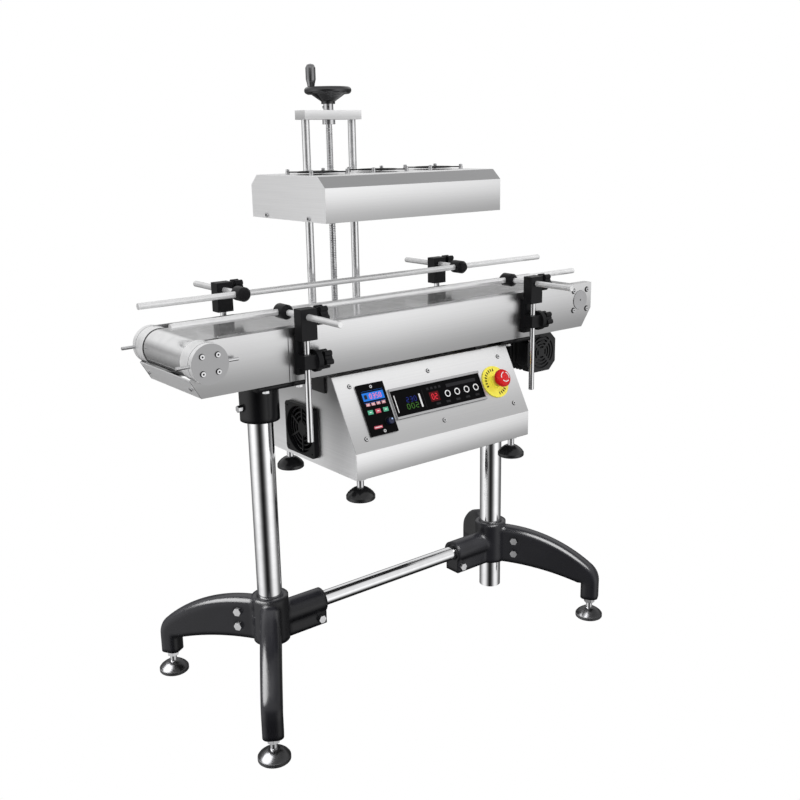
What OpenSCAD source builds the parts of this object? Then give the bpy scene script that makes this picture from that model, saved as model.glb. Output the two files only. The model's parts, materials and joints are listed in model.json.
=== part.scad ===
// Induction cap sealer: a belt conveyor on a two-leg stand, with a sealing head over the belt
// Millimetres, +X along the belt, +Y to the rear, +Z up, origin on the floor below the middle

/* [Stand] */
// Distance between the two leg tubes
tube_span = 613.5; // [560:0.5:640]
// Outside diameter of the leg tubes
tube_d = 50; // [44:1:54]
// Wall of the leg tubes and of the cross tube
tube_wall = 2.5; // [1.5:0.5:4]
// Height of the lower end of the right leg tube
tube_low_z = 51; // [45:1:80]
// How far the left leg tube ends above the underside of its sleeve
tube_inside = 2; // [1:1:20]
// Outside diameter of the base sleeves
sleeve_d = 74; // [66:1:84]
// Height of the underside of the base sleeves
sleeve_z = 118; // [110:1:130]
// Height of the base sleeves
sleeve_h = 96; // [80:1:110]
// Outside diameter of the cross tube
cross_d = 32; // [26:1:36]
// Height of the cross tube axis
cross_z = 164; // [155:1:170]
// Distance from the leg tube to the end of the cross tube socket
socket_reach = 122; // [100:1:140]
// Distance of each levelling foot from the leg tube
foot_r = 242.5; // [230:0.5:260]
// Angle of the base legs from the line of the cross tube
leg_angle = 58.3; // [50:0.1:65]
// Width of a base leg
leg_w = 40; // [34:1:46]
// Radius of the long arch on top of a base leg
leg_arch_r = 340; // [320:5:400]
// Radius of the bend down to the foot
leg_bend_r = 50; // [40:1:60]
// Rounding along the top edges of a base leg
leg_round = 13; // [6:1:16]
// Diameter of a levelling foot
foot_d = 62; // [50:1:70]
// Height of the boss undersides above the floor
boss_z = 50; // [44:1:58]

/* [Conveyor] */
// Height of the underside of the side rails
rail_z = 675; // [650:1:700]
// Height of the side rails
rail_h = 100; // [90:1:110]
// Half width over the side rails
rail_y = 101; // [96:1:108]
// Sheet thickness of the side rails
rail_wall = 2.5; // [1.5:0.5:4]
// Distance of the right rail end from the middle
rail_end_x = 526; // [520:1:560]
// Distance of the tail roller from the line of the left end
tail_in = 61; // [56:1:76]
// Distance of the drive roller from the right rail end
drive_in = 37.5; // [36:0.5:46]
// Drop of the roller axes below the rail top
axle_drop = 37.5; // [37:0.5:42]
// Radius of the rollers
roller_r = 32; // [28:0.5:33]
// Thickness of the belt
belt_t = 2.2; // [1.5:0.1:3]
// Half width of the belt
belt_half = 74; // [66:1:76]
// Radius of the tail caps
cap_r = 36; // [35:0.5:38]
// How far the outer cap faces stand before the rails
cap_out = 17; // [14:1:23]
// Diameter of the roller shafts
shaft_d = 20; // [16:1:24]

/* [Drive] */
// Gap between the right leg head and the motor
motor_gap = 1.75; // [1:0.25:12]
// Drop of the motor axis below the rail underside
motor_drop = 56; // [52:1:70]
// Size of the motor across flats
motor_size = 91; // [80:1:92]
// Pitch radius of both sprockets
sprocket_r = 20; // [16:1:24]
// Number of sprocket teeth
sprocket_teeth = 15; // [11:1:19]

/* [Guides] */
// Diameter of the guide rods
guide_d = 12; // [8:0.5:14]
// Length of the guide rails
guide_len = 1020; // [900:5:1040]
// Distance of the guide rails from the belt centre line
guide_y = 50; // [42:1:60]
// Height of the front guide rail above the side rails
guide_up = 22; // [20:1:40]
// How much higher the rear guide rail is set
rear_lift = 25; // [10:1:40]
// Distance of the uprights from the faces of the rails
upright_out = 24; // [21:1:39]
// Places of the front brackets along the belt
front_bracket_x = [-274, 309]; // [-400:1:400]
// Places of the rear brackets along the belt
rear_bracket_x = [-305, 250]; // [-400:1:400]

/* [Control box] */
// Distance of the left box side from the left leg tube
box_room_left = 108.75; // [90:0.25:120]
// Distance of the right box side from the right leg tube
box_room_right = 44.75; // [40:0.25:60]
// Distance of the box front from the belt centre line
box_front_y = 163.5; // [155:0.5:180]
// Distance of the box back from the belt centre line
box_back_y = 142; // [136:1:170]
// Gap between the box top and the rail underside
box_gap = 11; // [11:1:24]
// Height of the control box
box_h = 189; // [170:1:210]
// Height of the upright strip below the sloped panel
box_strip = 53.6; // [45:0.1:65]
// Depth from the box front to the upper edge of the panel
panel_depth = 74.5; // [60:0.5:90]
// Sheet thickness of the box and its panel
sheet = 2; // [1:0.5:3]

/* [Sealing head] */
// Left end of the sealing head
head_x0 = -215.5; // [-230:0.5:-200]
// Length of the sealing head
head_len = 433; // [410:1:440]
// Front face of the sealing head
head_y0 = -115.5; // [-130:0.5:-100]
// Width of the sealing head
head_w = 258; // [250:1:280]
// Gap from the side rails up to the sealing head
head_gap = 182; // [150:1:200]
// Height of the sealing head
head_h = 82; // [78:1:100]
// Depth of the slope along the upper edges
head_slope = 21.7; // [16:0.1:22]
// Drop of the slope along the upper edges
head_drop = 19.5; // [14:0.5:24]
// Pitch of the head fans
fan_pitch = 145; // [120:1:150]
// Frame size of a head fan
fan_size = 92; // [80:1:96]

/* [Lift] */
// Diameter of the guide posts
post_d = 16; // [12:1:18]
// Middle of the guide posts along the belt
post_x = -45.75; // [-60:0.25:-30]
// Distance between the guide posts
post_span = 113.5; // [100:0.5:130]
// Distance of the guide posts from the face of the rear rail
post_out = 11; // [10.5:0.5:15]
// Diameter of the lifting screw
screw_d = 14; // [10:1:18]
// Height of the bridge plate above the rail underside
bridge_up = 467; // [460:1:500]
// Thickness of the bridge plate
bridge_t = 18; // [12:1:24]
// Diameter of the handwheel
wheel_d = 95; // [85:1:110]
// Length of the crank grip
grip_len = 44; // [36:1:50]

/* [Hidden] */
$fn = 48;
// Radial clearances: running fit, loose fit and gap between curved faces
fit = 0.1;
slip = 0.05;
gap = 0.3;

// Stand, worked out
tube_x = tube_span / 2;
head_flange_t = 10;
head_socket_h = 80;
head_socket_d = tube_d + 27;
head_flange_x = 58;
head_flange_y = rail_y - 4;
head_bolt = [36, rail_y - 12];
head_bolt_d = 8;
head_nut_d = 14;
head_nut_h = 5.5;
tube_top_z = rail_z - head_flange_t;
set_screw_z = tube_top_z - 52;
set_screw_out = 10;
set_screw_in = 12;
leg_top_z = sleeve_z + sleeve_h - 9;
leg_under_z = sleeve_z + 2;
leg_depth = 130;
arch_x = 30;
arch_z = leg_top_z - leg_arch_r;
bend_x = foot_r + leg_w / 2 - leg_bend_r;
bend_z = arch_z + sqrt(pow(leg_arch_r - leg_bend_r, 2) - pow(bend_x - arch_x, 2));
bend_turn = atan2(bend_z - arch_z, bend_x - arch_x);
leg_under_gap = 2;
under_run = foot_r - leg_w / 2 - arch_x;
under_drop = leg_under_z - bend_z + leg_under_gap;
leg_under_r = (under_run * under_run + under_drop * under_drop) / (2 * under_drop);
stem_d = 14;
stem_in = 24;
foot_dome_z = 23;
foot_rim_h = 9;
foot_neck_r = 10;
foot_nut_d = 25;
foot_nut_h = 13;
bolt_d = 10;
bolt_head_d = 18;
bolt_head_h = 7;
leg_bolt_r = sleeve_d / 2 + 27;
leg_bolt_z = [sleeve_z + 26, sleeve_z + 58];
cross_gap = 4;
cross_half = tube_x - tube_d / 2 - cross_gap - 6;
socket_d = cross_d + 20;
socket_half = socket_d / 2 - 6;
socket_bolt_x = socket_reach - 14;
socket_bolt_z = sleeve_z + 14;

// Conveyor, worked out
rail_top = rail_z + rail_h;
axle_z = rail_top - axle_drop;
tail_x = rail_end_x - tail_in;
drive_x = rail_end_x - drive_in;
cap_y = rail_y + cap_out;
belt_in_r = roller_r + gap;
belt_r = belt_in_r + belt_t;
lip_y = belt_half + 4;
foot_lip_y = belt_half + 2;
rail_left_x = -tail_x - 12;
lip_start = 2 * rail_wall;
nose_x = -tail_x - 32;
nose_z = axle_z - 28;
tail_plate_turn = atan2(nose_z - rail_z, rail_left_x - nose_x);
tail_plate_len = (nose_z - rail_z) / sin(tail_plate_turn);
tail_screw_y = rail_y - 16;
tail_screw_up = tail_plate_len / 2;
end_cut_x = 30;
end_cut_z = 41;
cover_x = [-298, 274];
cover_t = 1.5;
cap_in_y = belt_half + 1.8;
shaft_end_y = cap_y - 14;
takeup_d = 6;
takeup_y = cap_y - 7;
takeup_reach = 58;
bearing_d = 44;
bearing_sq = 62;
bearing_t = 12;
bearing_screw = 22;
screw_shank_d = 5;
screw_head_d = 9;
screw_head_h = 3;
cap_screw = 15;
cap_screw_in = 10;
bearing_proud = 1.5;
bearing_floor = 1;
bed_t = 3;
bed_bar_x = [-330, 0, 330];
bed_bar_w = 30;
bed_bar_h = 31;
bed_gap = 8;

// Drive, worked out
motor_x = tube_x + head_flange_x + motor_gap + motor_size / 2;
motor_z = rail_z - motor_drop;
motor_cut = motor_size * 0.21;
motor_y0 = -57;
fan_cover_len = 32;
motor_case_y = motor_y0 + fan_cover_len;
motor_len = 65;
gearbox_len = 55;
motor_fin_h = 2;
motor_fin_t = 3;
motor_fin_pitch = 10;
gearbox_y = motor_case_y + motor_len;
gearbox_end_y = gearbox_y + gearbox_len;
output_d = 15;
output_depth = 20;
sprocket_y = rail_y + 16;
sprocket_t = 6;
shaft_over = 4;
chain_t = 5.5;
chain_side = 0.5;
guard_r = sprocket_r + 16;
guard_end_y = rail_y + 33;
chain_dx = drive_x - motor_x;
chain_dz = axle_z - motor_z;
chain_len = sqrt(chain_dx * chain_dx + chain_dz * chain_dz);
chain_turn = atan2(chain_dz, chain_dx);

// Guides, worked out
guide_z = rail_top + guide_up;
upright_y = rail_y + upright_out;
base_plate_w = 26;
base_plate_t = 11;
base_z = [rail_z + 13, rail_z + 86];
clamp_z = rail_z + 39;
clamp_h = 26;
block_w = 34;
block_t = 24;
block_low = 43;
block_high = 15;
front_drop = 236;
rear_drop = 122;
upright_short = guide_d / 2 + 3;
swivel_t = 10;
swivel_d = 42;
cross_rod_out = upright_y + 111;
cross_rod_in = guide_y + 8;
rail_clamp_d = 28;
rail_clamp_len = 40;
knob_r = 19;
knob_stem_d = 14;
knob_stem_h = 8;
knob_t = 16;
guide_mid_x = 8;
rear_mid_x = -4;

// Control box, worked out
box_x0 = -tube_x + box_room_left;
box_x1 = tube_x - box_room_right;
box_w = box_x1 - box_x0;
box_top = rail_z - box_gap;
box_z = box_top - box_h;
fold_z = box_z + box_strip;
panel_rise = box_h - box_strip;
panel_turn = atan2(panel_rise, panel_depth);
panel_len = sqrt(panel_rise * panel_rise + panel_depth * panel_depth);
ctl_u = 45;
ctl_v = 25;
ctl_w = 64;
ctl_h = 104;
unit_gap = 7;
stop_gap = 4;
stop_d = 70;
stop_u = box_w - 65;
stop_v = 78;
dis_u = ctl_u + ctl_w + unit_gap;
dis_v = 46;
dis_w = stop_u - stop_d / 2 - stop_gap - dis_u;
dis_h = 63;
stop_stem_d = 16;
stop_travel = 5;
stop_sleeve_d = stop_stem_d + 7;
stop_sleeve_len = 40;
stop_plate_t = 2.5;
stop_collar_d = 28;
stop_collar_h = 10;
stop_in = 30;
stop_head_in = 6;
stop_rest = stop_collar_h + stop_travel + 1;
stop_head_d = 38;
knob_u = ctl_u + ctl_w - 15;
knob_v = ctl_v + 22;
bezel_t = 5;
dial_d = 13;
dial_pin_d = 6;
dial_h = 8;
dial_in = 10;
panel_lip_u = 20;
panel_lip_v = 14;
unit_lap = 4;
unit_depth = 45;
panel_screw_d = 4;
panel_screw_head_d = 8;
panel_screw_head_h = 2;
panel_screw_in = 33;
panel_screw_v = [24, 131];
box_fan_y = 17;
box_fan_z = box_z + 65;
box_fan_size = 104;
box_fan_d = box_fan_size - 8;
box_fan_in = 6;
box_fan_screw = 43;
box_guard_t = 10;
box_guard_bar = 4;
box_guard_ring = 2.6;
box_foot_in = 26;
box_foot_h = 48;
box_foot_d = 57;
box_foot_dome = 24;
box_foot_nut = 8;
bar_t = 4;
bar_w = 36;
tab_y = [-68, -22];
tab_h = 34;
right_bar_x = box_x1 - 60;
pillar_y = 60;
pillar_d = 20;

// Sealing head, worked out
head_x1 = head_x0 + head_len;
head_xm = head_x0 + head_len / 2;
head_y1 = head_y0 + head_w;
head_ym = head_y0 + head_w / 2;
head_z = rail_top + head_gap;
head_top = head_z + head_h;
head_sheet = 2;
fan_top = head_top - head_sheet - slip;
head_screw_y = [head_ym - 74, head_ym + 74];
head_screw_z = head_z + 6;
head_screw_in = 4;
base_t = 4;
fan_d = fan_size - 6;
fan_hole = fan_size / 2 - 5;
fan_depth = 25;
fan_screw = fan_size * 0.4485;
fan_screw_d = 4;
fan_screw_head_d = 7;
fan_screw_head_h = 4;
fan_hub_d = 36;
fan_wheel_h = 18;
fan_blades = 7;
fan_pin_d = 5;
fan_spider_t = 3;
guard_wire = 2.4;
guard_up = 6;
fan_x = [for (i = [-1 : 1]) head_xm + i * fan_pitch];
post_xs = [post_x - post_span / 2, post_x + post_span / 2];
bushing_d = post_d + 14;
carriage_z = head_z + base_t;
carriage_h = 58;
coil_len = head_len - 90;
coil_w = 90;
coil_h = 24;
coil_band = 26;
coil_y = head_ym - 35;
carriage_bar_w = 22;

// Lift, worked out
bridge_z = rail_z + bridge_up;
post_y = rail_y + post_out;
bridge_w = 36;
bridge_len = post_span + 25;
post_foot_d = 38;
post_foot_h = box_gap - 1;
post_in = bridge_t - 6;
post_hole_d = post_d + 2;
screw_hole_d = screw_d + 3;
screw_seat = 3;
collar_d = 26;
collar_h = 9;
hub_z = bridge_z + bridge_t + gap;
hub_d = 28;
hub_h = 30;
neck_d = 20;
neck_h = 12;
wheel_z = hub_z + hub_h + 8;
wheel_rim = 14;
screw_top = hub_z + hub_h;
grip_r = 34;
grip_turn = 158;
grip_d = 20;
pin_d = 8;
pin_boss_d = 16;
pin_end = 8;
grip_z = wheel_z + wheel_rim / 2 + gap;

// A round bar along X, Y or Z between two places
module along_x(x0, x1, y, z, d) {
    translate([x0, y, z]) rotate([0, 90, 0]) cylinder(d = d, h = x1 - x0);
}

module along_y(y0, y1, x, z, d) {
    translate([x, y0, z]) rotate([-90, 0, 0]) cylinder(d = d, h = y1 - y0);
}

module along_z(z0, z1, x, y, d) {
    translate([x, y, z0]) cylinder(d = d, h = z1 - z0);
}

// A block between two corners
module block(from, to) {
    translate(from) cube(to - from);
}

// A flat outline drawn in X and Z, extruded along Y
module slab_xz(y0, y1) {
    translate([0, y1, 0]) rotate([90, 0, 0]) linear_extrude(y1 - y0) children();
}

// A flat outline drawn in Y and Z, extruded along X
module slab_yz(x0, x1) {
    translate([x0, 0, 0]) rotate([90, 0, 90]) linear_extrude(x1 - x0) children();
}

// A rectangle with round corners, centred
module round_square(w, h, r) {
    square([w - 2 * r, h], center = true);
    square([w, h - 2 * r], center = true);
    for (i = [-1, 1], j = [-1, 1]) translate([i * (w / 2 - r), j * (h / 2 - r)]) circle(r);
}

// A square with cut corners, centred
module cut_square(size, cut) {
    h = size / 2;
    c = h - cut;
    polygon([[-c, -h], [c, -h], [h, -c], [h, c], [c, h], [-c, h], [-h, c], [-h, -c]]);
}

// An oval of one radius round two places, the second at a distance and turn from the first
module oval(r, len, turn) {
    circle(r);
    rotate(turn) translate([0, -r]) square([len, 2 * r]);
    rotate(turn) translate([len, 0]) circle(r);
}

// The front and the rear of the machine, by mirror
module both_sides() {
    for (side = [0, 1]) mirror([0, side, 0]) children();
}

// A screw with a round head standing on the plane z = 0, shank below
module round_screw(d, head_d, head_h, shank) {
    cylinder(d = head_d, h = head_h);
    translate([0, 0, -shank]) cylinder(d = d, h = shank);
}

// A screw with a six-sided head standing on the plane z = 0, shank below
module hex_screw(d, head_d, head_h, shank) {
    cylinder(d = head_d, h = head_h, $fn = 6);
    translate([0, 0, -shank]) cylinder(d = d, h = shank);
}

// The rim of a round block of a leg: outer radius r, both edges rounded
module leg_rim(r, inner) {
    w = leg_w / 2;
    translate([inner, -w]) square([r - leg_round - inner, leg_w]);
    translate([inner, -w + leg_round]) square([r - inner, leg_w - 2 * leg_round]);
    for (j = [-1, 1]) translate([r - leg_round, j * (w - leg_round)]) circle(leg_round);
}

// One base leg along +X from the sleeve axis: arched top, hollow underside, boss at the foot
module base_leg() {
    arch_from = 97;
    leg_tie = [leg_w / 2, leg_w / 2, leg_bend_r / 2];
    difference() {
        union() {
            translate([arch_x, 0, arch_z]) rotate([90, 0, 0]) rotate([0, 0, bend_turn])
                rotate_extrude(angle = arch_from - bend_turn) leg_rim(leg_arch_r, leg_arch_r - leg_depth);
            translate([bend_x, 0, bend_z]) rotate([90, 0, 0])
                rotate_extrude(angle = bend_turn) leg_rim(leg_bend_r, 0);
        }
        translate([arch_x, 0, leg_under_z - leg_under_r]) rotate([90, 0, 0])
            cylinder(r = leg_under_r, h = 2 * leg_w, center = true);
    }
    translate([foot_r, 0, boss_z]) linear_extrude(bend_z - boss_z) round_square(leg_w, leg_w, leg_round);
    translate([foot_r, 0, bend_z]) cube(leg_tie, center = true);
    translate([bend_x, 0, bend_z]) rotate([0, -bend_turn, 0]) translate([leg_bend_r / 2, 0, 0])
        cube(leg_tie, center = true);
}

// Base with its cross tube socket along +X
module base_casting() {
    difference() {
        union() {
            translate([0, 0, sleeve_z]) cylinder(d = sleeve_d, h = sleeve_h);
            for (side = [-1, 1]) rotate([0, 0, 180 + side * leg_angle]) base_leg();
            along_x(0, socket_reach, 0, cross_z, socket_d);
            block([0, -socket_half, sleeve_z], [socket_reach, socket_half, cross_z]);
        }
        translate([0, 0, sleeve_z - 1]) cylinder(d = tube_d + 2 * fit, h = sleeve_h + 2);
        along_x(tube_x - cross_half - 1, socket_reach + 1, 0, cross_z, cross_d + 2 * fit);
        for (z = leg_bolt_z) rotate([0, 0, 180 - leg_angle])
            along_y(-leg_w, leg_w, leg_bolt_r, z, bolt_d + 2 * fit);
        for (side = [-1, 1]) rotate([0, 0, 180 + side * leg_angle])
            along_z(boss_z - 1, boss_z + stem_in + 2, foot_r, 0, stem_d + 2 * fit);
        along_y(-socket_d, socket_d, socket_bolt_x, socket_bolt_z, bolt_d + 2 * fit);
    }
}

// Places the children at the left base, and turned round at the right one
module at_bases() {
    translate([-tube_x, 0, 0]) children();
    rotate([0, 0, 180]) translate([-tube_x, 0, 0]) children();
}

module left_base() {
    color("#242427") translate([-tube_x, 0, 0]) base_casting();
}

module right_base() {
    color("#242427") rotate([0, 0, 180]) translate([-tube_x, 0, 0]) base_casting();
}

module cross_tube() {
    color("#c9ccd0") difference() {
        along_x(-cross_half, cross_half, 0, cross_z, cross_d);
        along_x(-cross_half - 1, cross_half + 1, 0, cross_z, cross_d - 2 * tube_wall);
    }
}

// A through bolt along Y with a six-sided head at the front and a nut at the rear
module through_bolt(x, z, half) {
    translate([x, -half, z]) rotate([90, 0, 0]) cylinder(d = bolt_head_d, h = bolt_head_h, $fn = 6);
    translate([x, half, z]) rotate([-90, 0, 0]) cylinder(d = bolt_head_d, h = bolt_head_h, $fn = 6);
    along_y(-half - 1, half + 1, x, z, bolt_d);
}

module stand_bolts() {
    color("#b9bcc0") at_bases() {
        for (z = leg_bolt_z) rotate([0, 0, 180 - leg_angle]) through_bolt(leg_bolt_r, z, leg_w / 2);
        through_bolt(socket_bolt_x, socket_bolt_z, socket_half);
    }
}

// Round foot with a domed pad, a stem and a lock nut
module round_foot(d, dome_z, nut_z, nut_h, top_z) {
    r = d / 2;
    rise = dome_z - foot_rim_h;
    rotate_extrude() polygon([[0, 0], [r - 1.5, 0], [r, 1.5], [r, foot_rim_h - 1], [r - 1, foot_rim_h],
        [r * 0.9, foot_rim_h + rise * 0.22], [r * 0.74, foot_rim_h + rise * 0.52],
        [r * 0.54, foot_rim_h + rise * 0.82], [foot_neck_r, dome_z], [0, dome_z]]);
    cylinder(d = stem_d, h = top_z);
    translate([0, 0, nut_z]) cylinder(d = foot_nut_d, h = nut_h, $fn = 6);
}

module levelling_feet() {
    color("#8d9095") at_bases()
        for (side = [-1, 1]) rotate([0, 0, 180 + side * leg_angle]) translate([foot_r, 0, 0])
            round_foot(foot_d, foot_dome_z, boss_z - foot_nut_h, foot_nut_h, boss_z + stem_in);
}

module leg_tube(x, low_z) {
    difference() {
        along_z(low_z, tube_top_z, x, 0, tube_d);
        along_z(low_z - 1, tube_top_z + 1, x, 0, tube_d - 2 * tube_wall);
    }
}

module leg_tubes() {
    color("#d2d5d9") {
        leg_tube(-tube_x, sleeve_z + tube_inside);
        leg_tube(tube_x, tube_low_z);
    }
}

// Socket on the leg tube with a bolted flange below the rails
module leg_heads() {
    color("#2b2b2e") at_bases() difference() {
        union() {
            along_z(tube_top_z - head_socket_h, tube_top_z, 0, 0, head_socket_d);
            block([-head_flange_x, -head_flange_y, tube_top_z], [head_flange_x, head_flange_y, rail_z]);
        }
        along_z(tube_top_z - head_socket_h - 1, tube_top_z, 0, 0, tube_d + 2 * fit);
        for (i = [-1, 1], j = [-1, 1])
            along_z(tube_top_z - 1, rail_z + 1, i * head_bolt[0], j * head_bolt[1], head_bolt_d + 2 * fit);
        along_x(-head_socket_d, 0, 0, set_screw_z, head_bolt_d + 2 * fit);
    }
}

// Side view of a rail, without the round the tail cap sits in
module rail_outline() {
    difference() {
        polygon([[rail_left_x, rail_z], [rail_end_x - end_cut_x, rail_z],
            [rail_end_x, rail_z + end_cut_z], [rail_end_x, rail_top], [-tail_x, rail_top],
            [-tail_x, axle_z], [nose_x, nose_z]]);
        translate([-tail_x, axle_z]) circle(cap_r + gap);
    }
}

// Folded side rail at the front, with a lip at the top and at the bottom and a cover along the middle
module side_rail() {
    difference() {
        union() {
            slab_xz(-rail_y, -rail_y + rail_wall) rail_outline();
            block([-tail_x + cap_r + 1, -rail_y, rail_top - rail_wall], [rail_end_x, -lip_y, rail_top]);
            block([rail_left_x + lip_start, -rail_y, rail_z],
                [rail_end_x - end_cut_x, -foot_lip_y, rail_z + rail_wall]);
            block([cover_x[0], -rail_y - cover_t, rail_z + 1], [cover_x[1], -rail_y, rail_top - 1]);
        }
        along_y(-rail_y - 1, -rail_y + rail_wall + 1, drive_x, axle_z, bearing_d + 2 * gap);
        for (i = [-1, 1], j = [-1, 1]) along_y(-rail_y - 1, -rail_y + rail_wall + 1,
            drive_x + i * bearing_screw, axle_z + j * bearing_screw, screw_shank_d + 2 * fit);
        for (x = [-tube_x, tube_x], i = [-1, 1])
            along_z(rail_z - 1, rail_z + rail_wall + 1, x + i * head_bolt[0], -head_bolt[1],
                head_bolt_d + 2 * fit);
    }
}

module front_side_rail() {
    color("#c8cacd") side_rail();
}

module rear_side_rail() {
    color("#c8cacd") mirror([0, 1, 0]) side_rail();
}

// Plate below the carrying run, on cross bars between the rails
module slider_bed() {
    top = axle_z + belt_in_r;
    color("#b4b6b9") {
        block([-tail_x + roller_r + bed_gap, -belt_half, top - bed_t],
            [drive_x - roller_r - bed_gap, belt_half, top]);
        for (x = bed_bar_x)
            block([x - bed_bar_w / 2, -rail_y + rail_wall, top - bed_t - bed_bar_h],
                [x + bed_bar_w / 2, rail_y - rail_wall, top - bed_t]);
    }
}

module belt_outline(r) {
    translate([-tail_x, axle_z]) oval(r, tail_x + drive_x, 0);
}

module conveyor_belt() {
    color("#a9acb0") slab_xz(-belt_half, belt_half) difference() {
        belt_outline(belt_r);
        belt_outline(belt_in_r);
    }
}

// Round bearing housings at the tail, with a groove round the rim
module tail_caps() {
    groove_y = cap_y - 13;
    groove_w = 1.2;
    groove_in = 0.8;
    color("#c3c5c8") both_sides() difference() {
        along_y(-cap_y, -cap_in_y, -tail_x, axle_z, 2 * cap_r);
        along_y(-shaft_end_y - gap, -cap_in_y + 1, -tail_x, axle_z, shaft_d + 2 * slip);
        along_x(-tail_x - cap_r - 1, -tail_x + cap_r + 1, -takeup_y, axle_z, takeup_d + 2 * fit);
        translate([-tail_x, -groove_y, axle_z]) rotate([90, 0, 0]) difference() {
            cylinder(r = cap_r + 1, h = groove_w);
            translate([0, 0, -1]) cylinder(r = cap_r - groove_in, h = groove_w + 2);
        }
        for (i = [-1, 1], j = [-1, 1])
            along_y(-cap_y - 1, -cap_y + cap_screw_in + gap, -tail_x + i * cap_screw,
                axle_z + j * cap_screw, screw_shank_d + 2 * fit);
    }
}

// Places the children on the sloped tail plate: outer face on x = 0, z up the slope from the lower edge
module on_tail_plate() {
    translate([rail_left_x, 0, rail_z]) rotate([0, tail_plate_turn - 90, 0]) children();
}

// Sloped plate below the tail roller, folded along its lower edge
module tail_guard_plate() {
    fold = 26;
    color("#c8cacd") difference() {
        union() {
            on_tail_plate() translate([0, -rail_y + rail_wall, 0])
                cube([rail_wall, 2 * (rail_y - rail_wall), tail_plate_len]);
            block([rail_left_x, -foot_lip_y + 1, rail_z],
                [rail_left_x + fold, foot_lip_y - 1, rail_z + rail_wall]);
        }
        translate([0, 0, rail_z - fold]) cube([4 * tail_x, 4 * rail_y, 2 * fold], center = true);
        for (side = [-1, 1]) on_tail_plate() translate([-1, side * tail_screw_y, tail_screw_up])
            rotate([0, 90, 0]) cylinder(d = screw_shank_d + 2 * fit, h = rail_wall + 2);
    }
}

// Flanged bearings of the drive roller, the front one closed
module bearing(closed) {
    difference() {
        union() {
            block([drive_x - bearing_sq / 2, -rail_y + rail_wall, axle_z - bearing_sq / 2],
                [drive_x + bearing_sq / 2, -rail_y + rail_wall + bearing_t, axle_z + bearing_sq / 2]);
            along_y(-rail_y - bearing_proud, -rail_y + rail_wall + 1, drive_x, axle_z, bearing_d);
        }
        along_y(closed ? -rail_y + bearing_floor : -rail_y - bearing_t, -rail_y + rail_wall + bearing_t + 1,
            drive_x, axle_z, shaft_d + 2 * slip);
        for (i = [-1, 1], j = [-1, 1]) along_y(-rail_y - bearing_t, -rail_y + rail_wall + bearing_t + 1,
            drive_x + i * bearing_screw, axle_z + j * bearing_screw, screw_shank_d + 2 * fit);
    }
}

module bearing_plates() {
    color("#b9bbbe") {
        bearing(true);
        mirror([0, 1, 0]) bearing(false);
    }
}

// Screws of the caps, the tail plate, the bearings, the take-up, the leg heads and the panel
module machine_screws() {
    color("#b7babe") {
        both_sides() for (i = [-1, 1], j = [-1, 1])
            translate([-tail_x + i * cap_screw, -cap_y, axle_z + j * cap_screw]) rotate([90, 0, 0])
                round_screw(screw_shank_d, screw_head_d, screw_head_h, cap_screw_in);
        for (side = [-1, 1]) on_tail_plate() translate([0, side * tail_screw_y, tail_screw_up])
            rotate([0, -90, 0]) round_screw(screw_shank_d, screw_head_d, screw_head_h, rail_wall);
        both_sides() along_x(-rail_end_x, -tail_x + takeup_reach, -takeup_y, axle_z, takeup_d);
        for (i = [-1, 1], j = [-1, 1])
            translate([drive_x + i * bearing_screw, -rail_y, axle_z + j * bearing_screw])
                rotate([90, 0, 0])
                    round_screw(screw_shank_d, screw_head_d, screw_head_h, rail_wall + bearing_t);
        for (i = [-1, 1], j = [-1, 1]) along_y(rail_y - rail_wall - bearing_t, rail_y,
            drive_x + i * bearing_screw, axle_z + j * bearing_screw, screw_shank_d);
        at_bases() for (i = [-1, 1], j = [-1, 1])
            translate([i * head_bolt[0], j * head_bolt[1], tube_top_z]) rotate([180, 0, 0])
                hex_screw(head_bolt_d, head_nut_d, head_nut_h, head_flange_t + rail_wall);
        at_bases() translate([-head_socket_d / 2, 0, set_screw_z]) rotate([0, -90, 0])
            hex_screw(head_bolt_d, head_nut_d, set_screw_out, set_screw_in);
        for (u = [panel_screw_in, box_w / 2, box_w - panel_screw_in], v = panel_screw_v)
            on_panel(u, v) round_screw(panel_screw_d, panel_screw_head_d, panel_screw_head_h, sheet);
    }
}

// Gear motor below the drive end, its axis along Y
module gear_motor() {
    color("#1d1d1f") translate([motor_x, 0, motor_z]) difference() {
        union() {
            slab_xz(motor_case_y, gearbox_y) cut_square(motor_size - 2 * motor_fin_h, motor_cut);
            slab_xz(gearbox_y, gearbox_end_y) round_square(motor_size, motor_size, 6);
            for (y = [motor_case_y + motor_fin_pitch : motor_fin_pitch : gearbox_y - motor_fin_pitch])
                slab_xz(y, y + motor_fin_t) cut_square(motor_size, motor_cut);
        }
        along_y(gearbox_end_y - output_depth, gearbox_end_y + 1, 0, 0, output_d + 2 * slip);
    }
}

// Eight-sided cover over the motor's cooling fan, with rings of slots
module motor_fan_cover() {
    slot_w = 4;
    bar = 7;
    color("#1d1d1f") translate([motor_x, 0, motor_z]) difference() {
        slab_xz(motor_y0, motor_case_y) cut_square(motor_size, motor_cut);
        slab_xz(motor_y0 - 1, motor_y0 + slot_w) difference() {
            for (r = [12 : 2 * slot_w : 36]) difference() {
                circle(r + slot_w / 2);
                circle(r - slot_w / 2);
            }
            for (a = [45, 135]) rotate(a) square([motor_size, bar], center = true);
        }
    }
}

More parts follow.
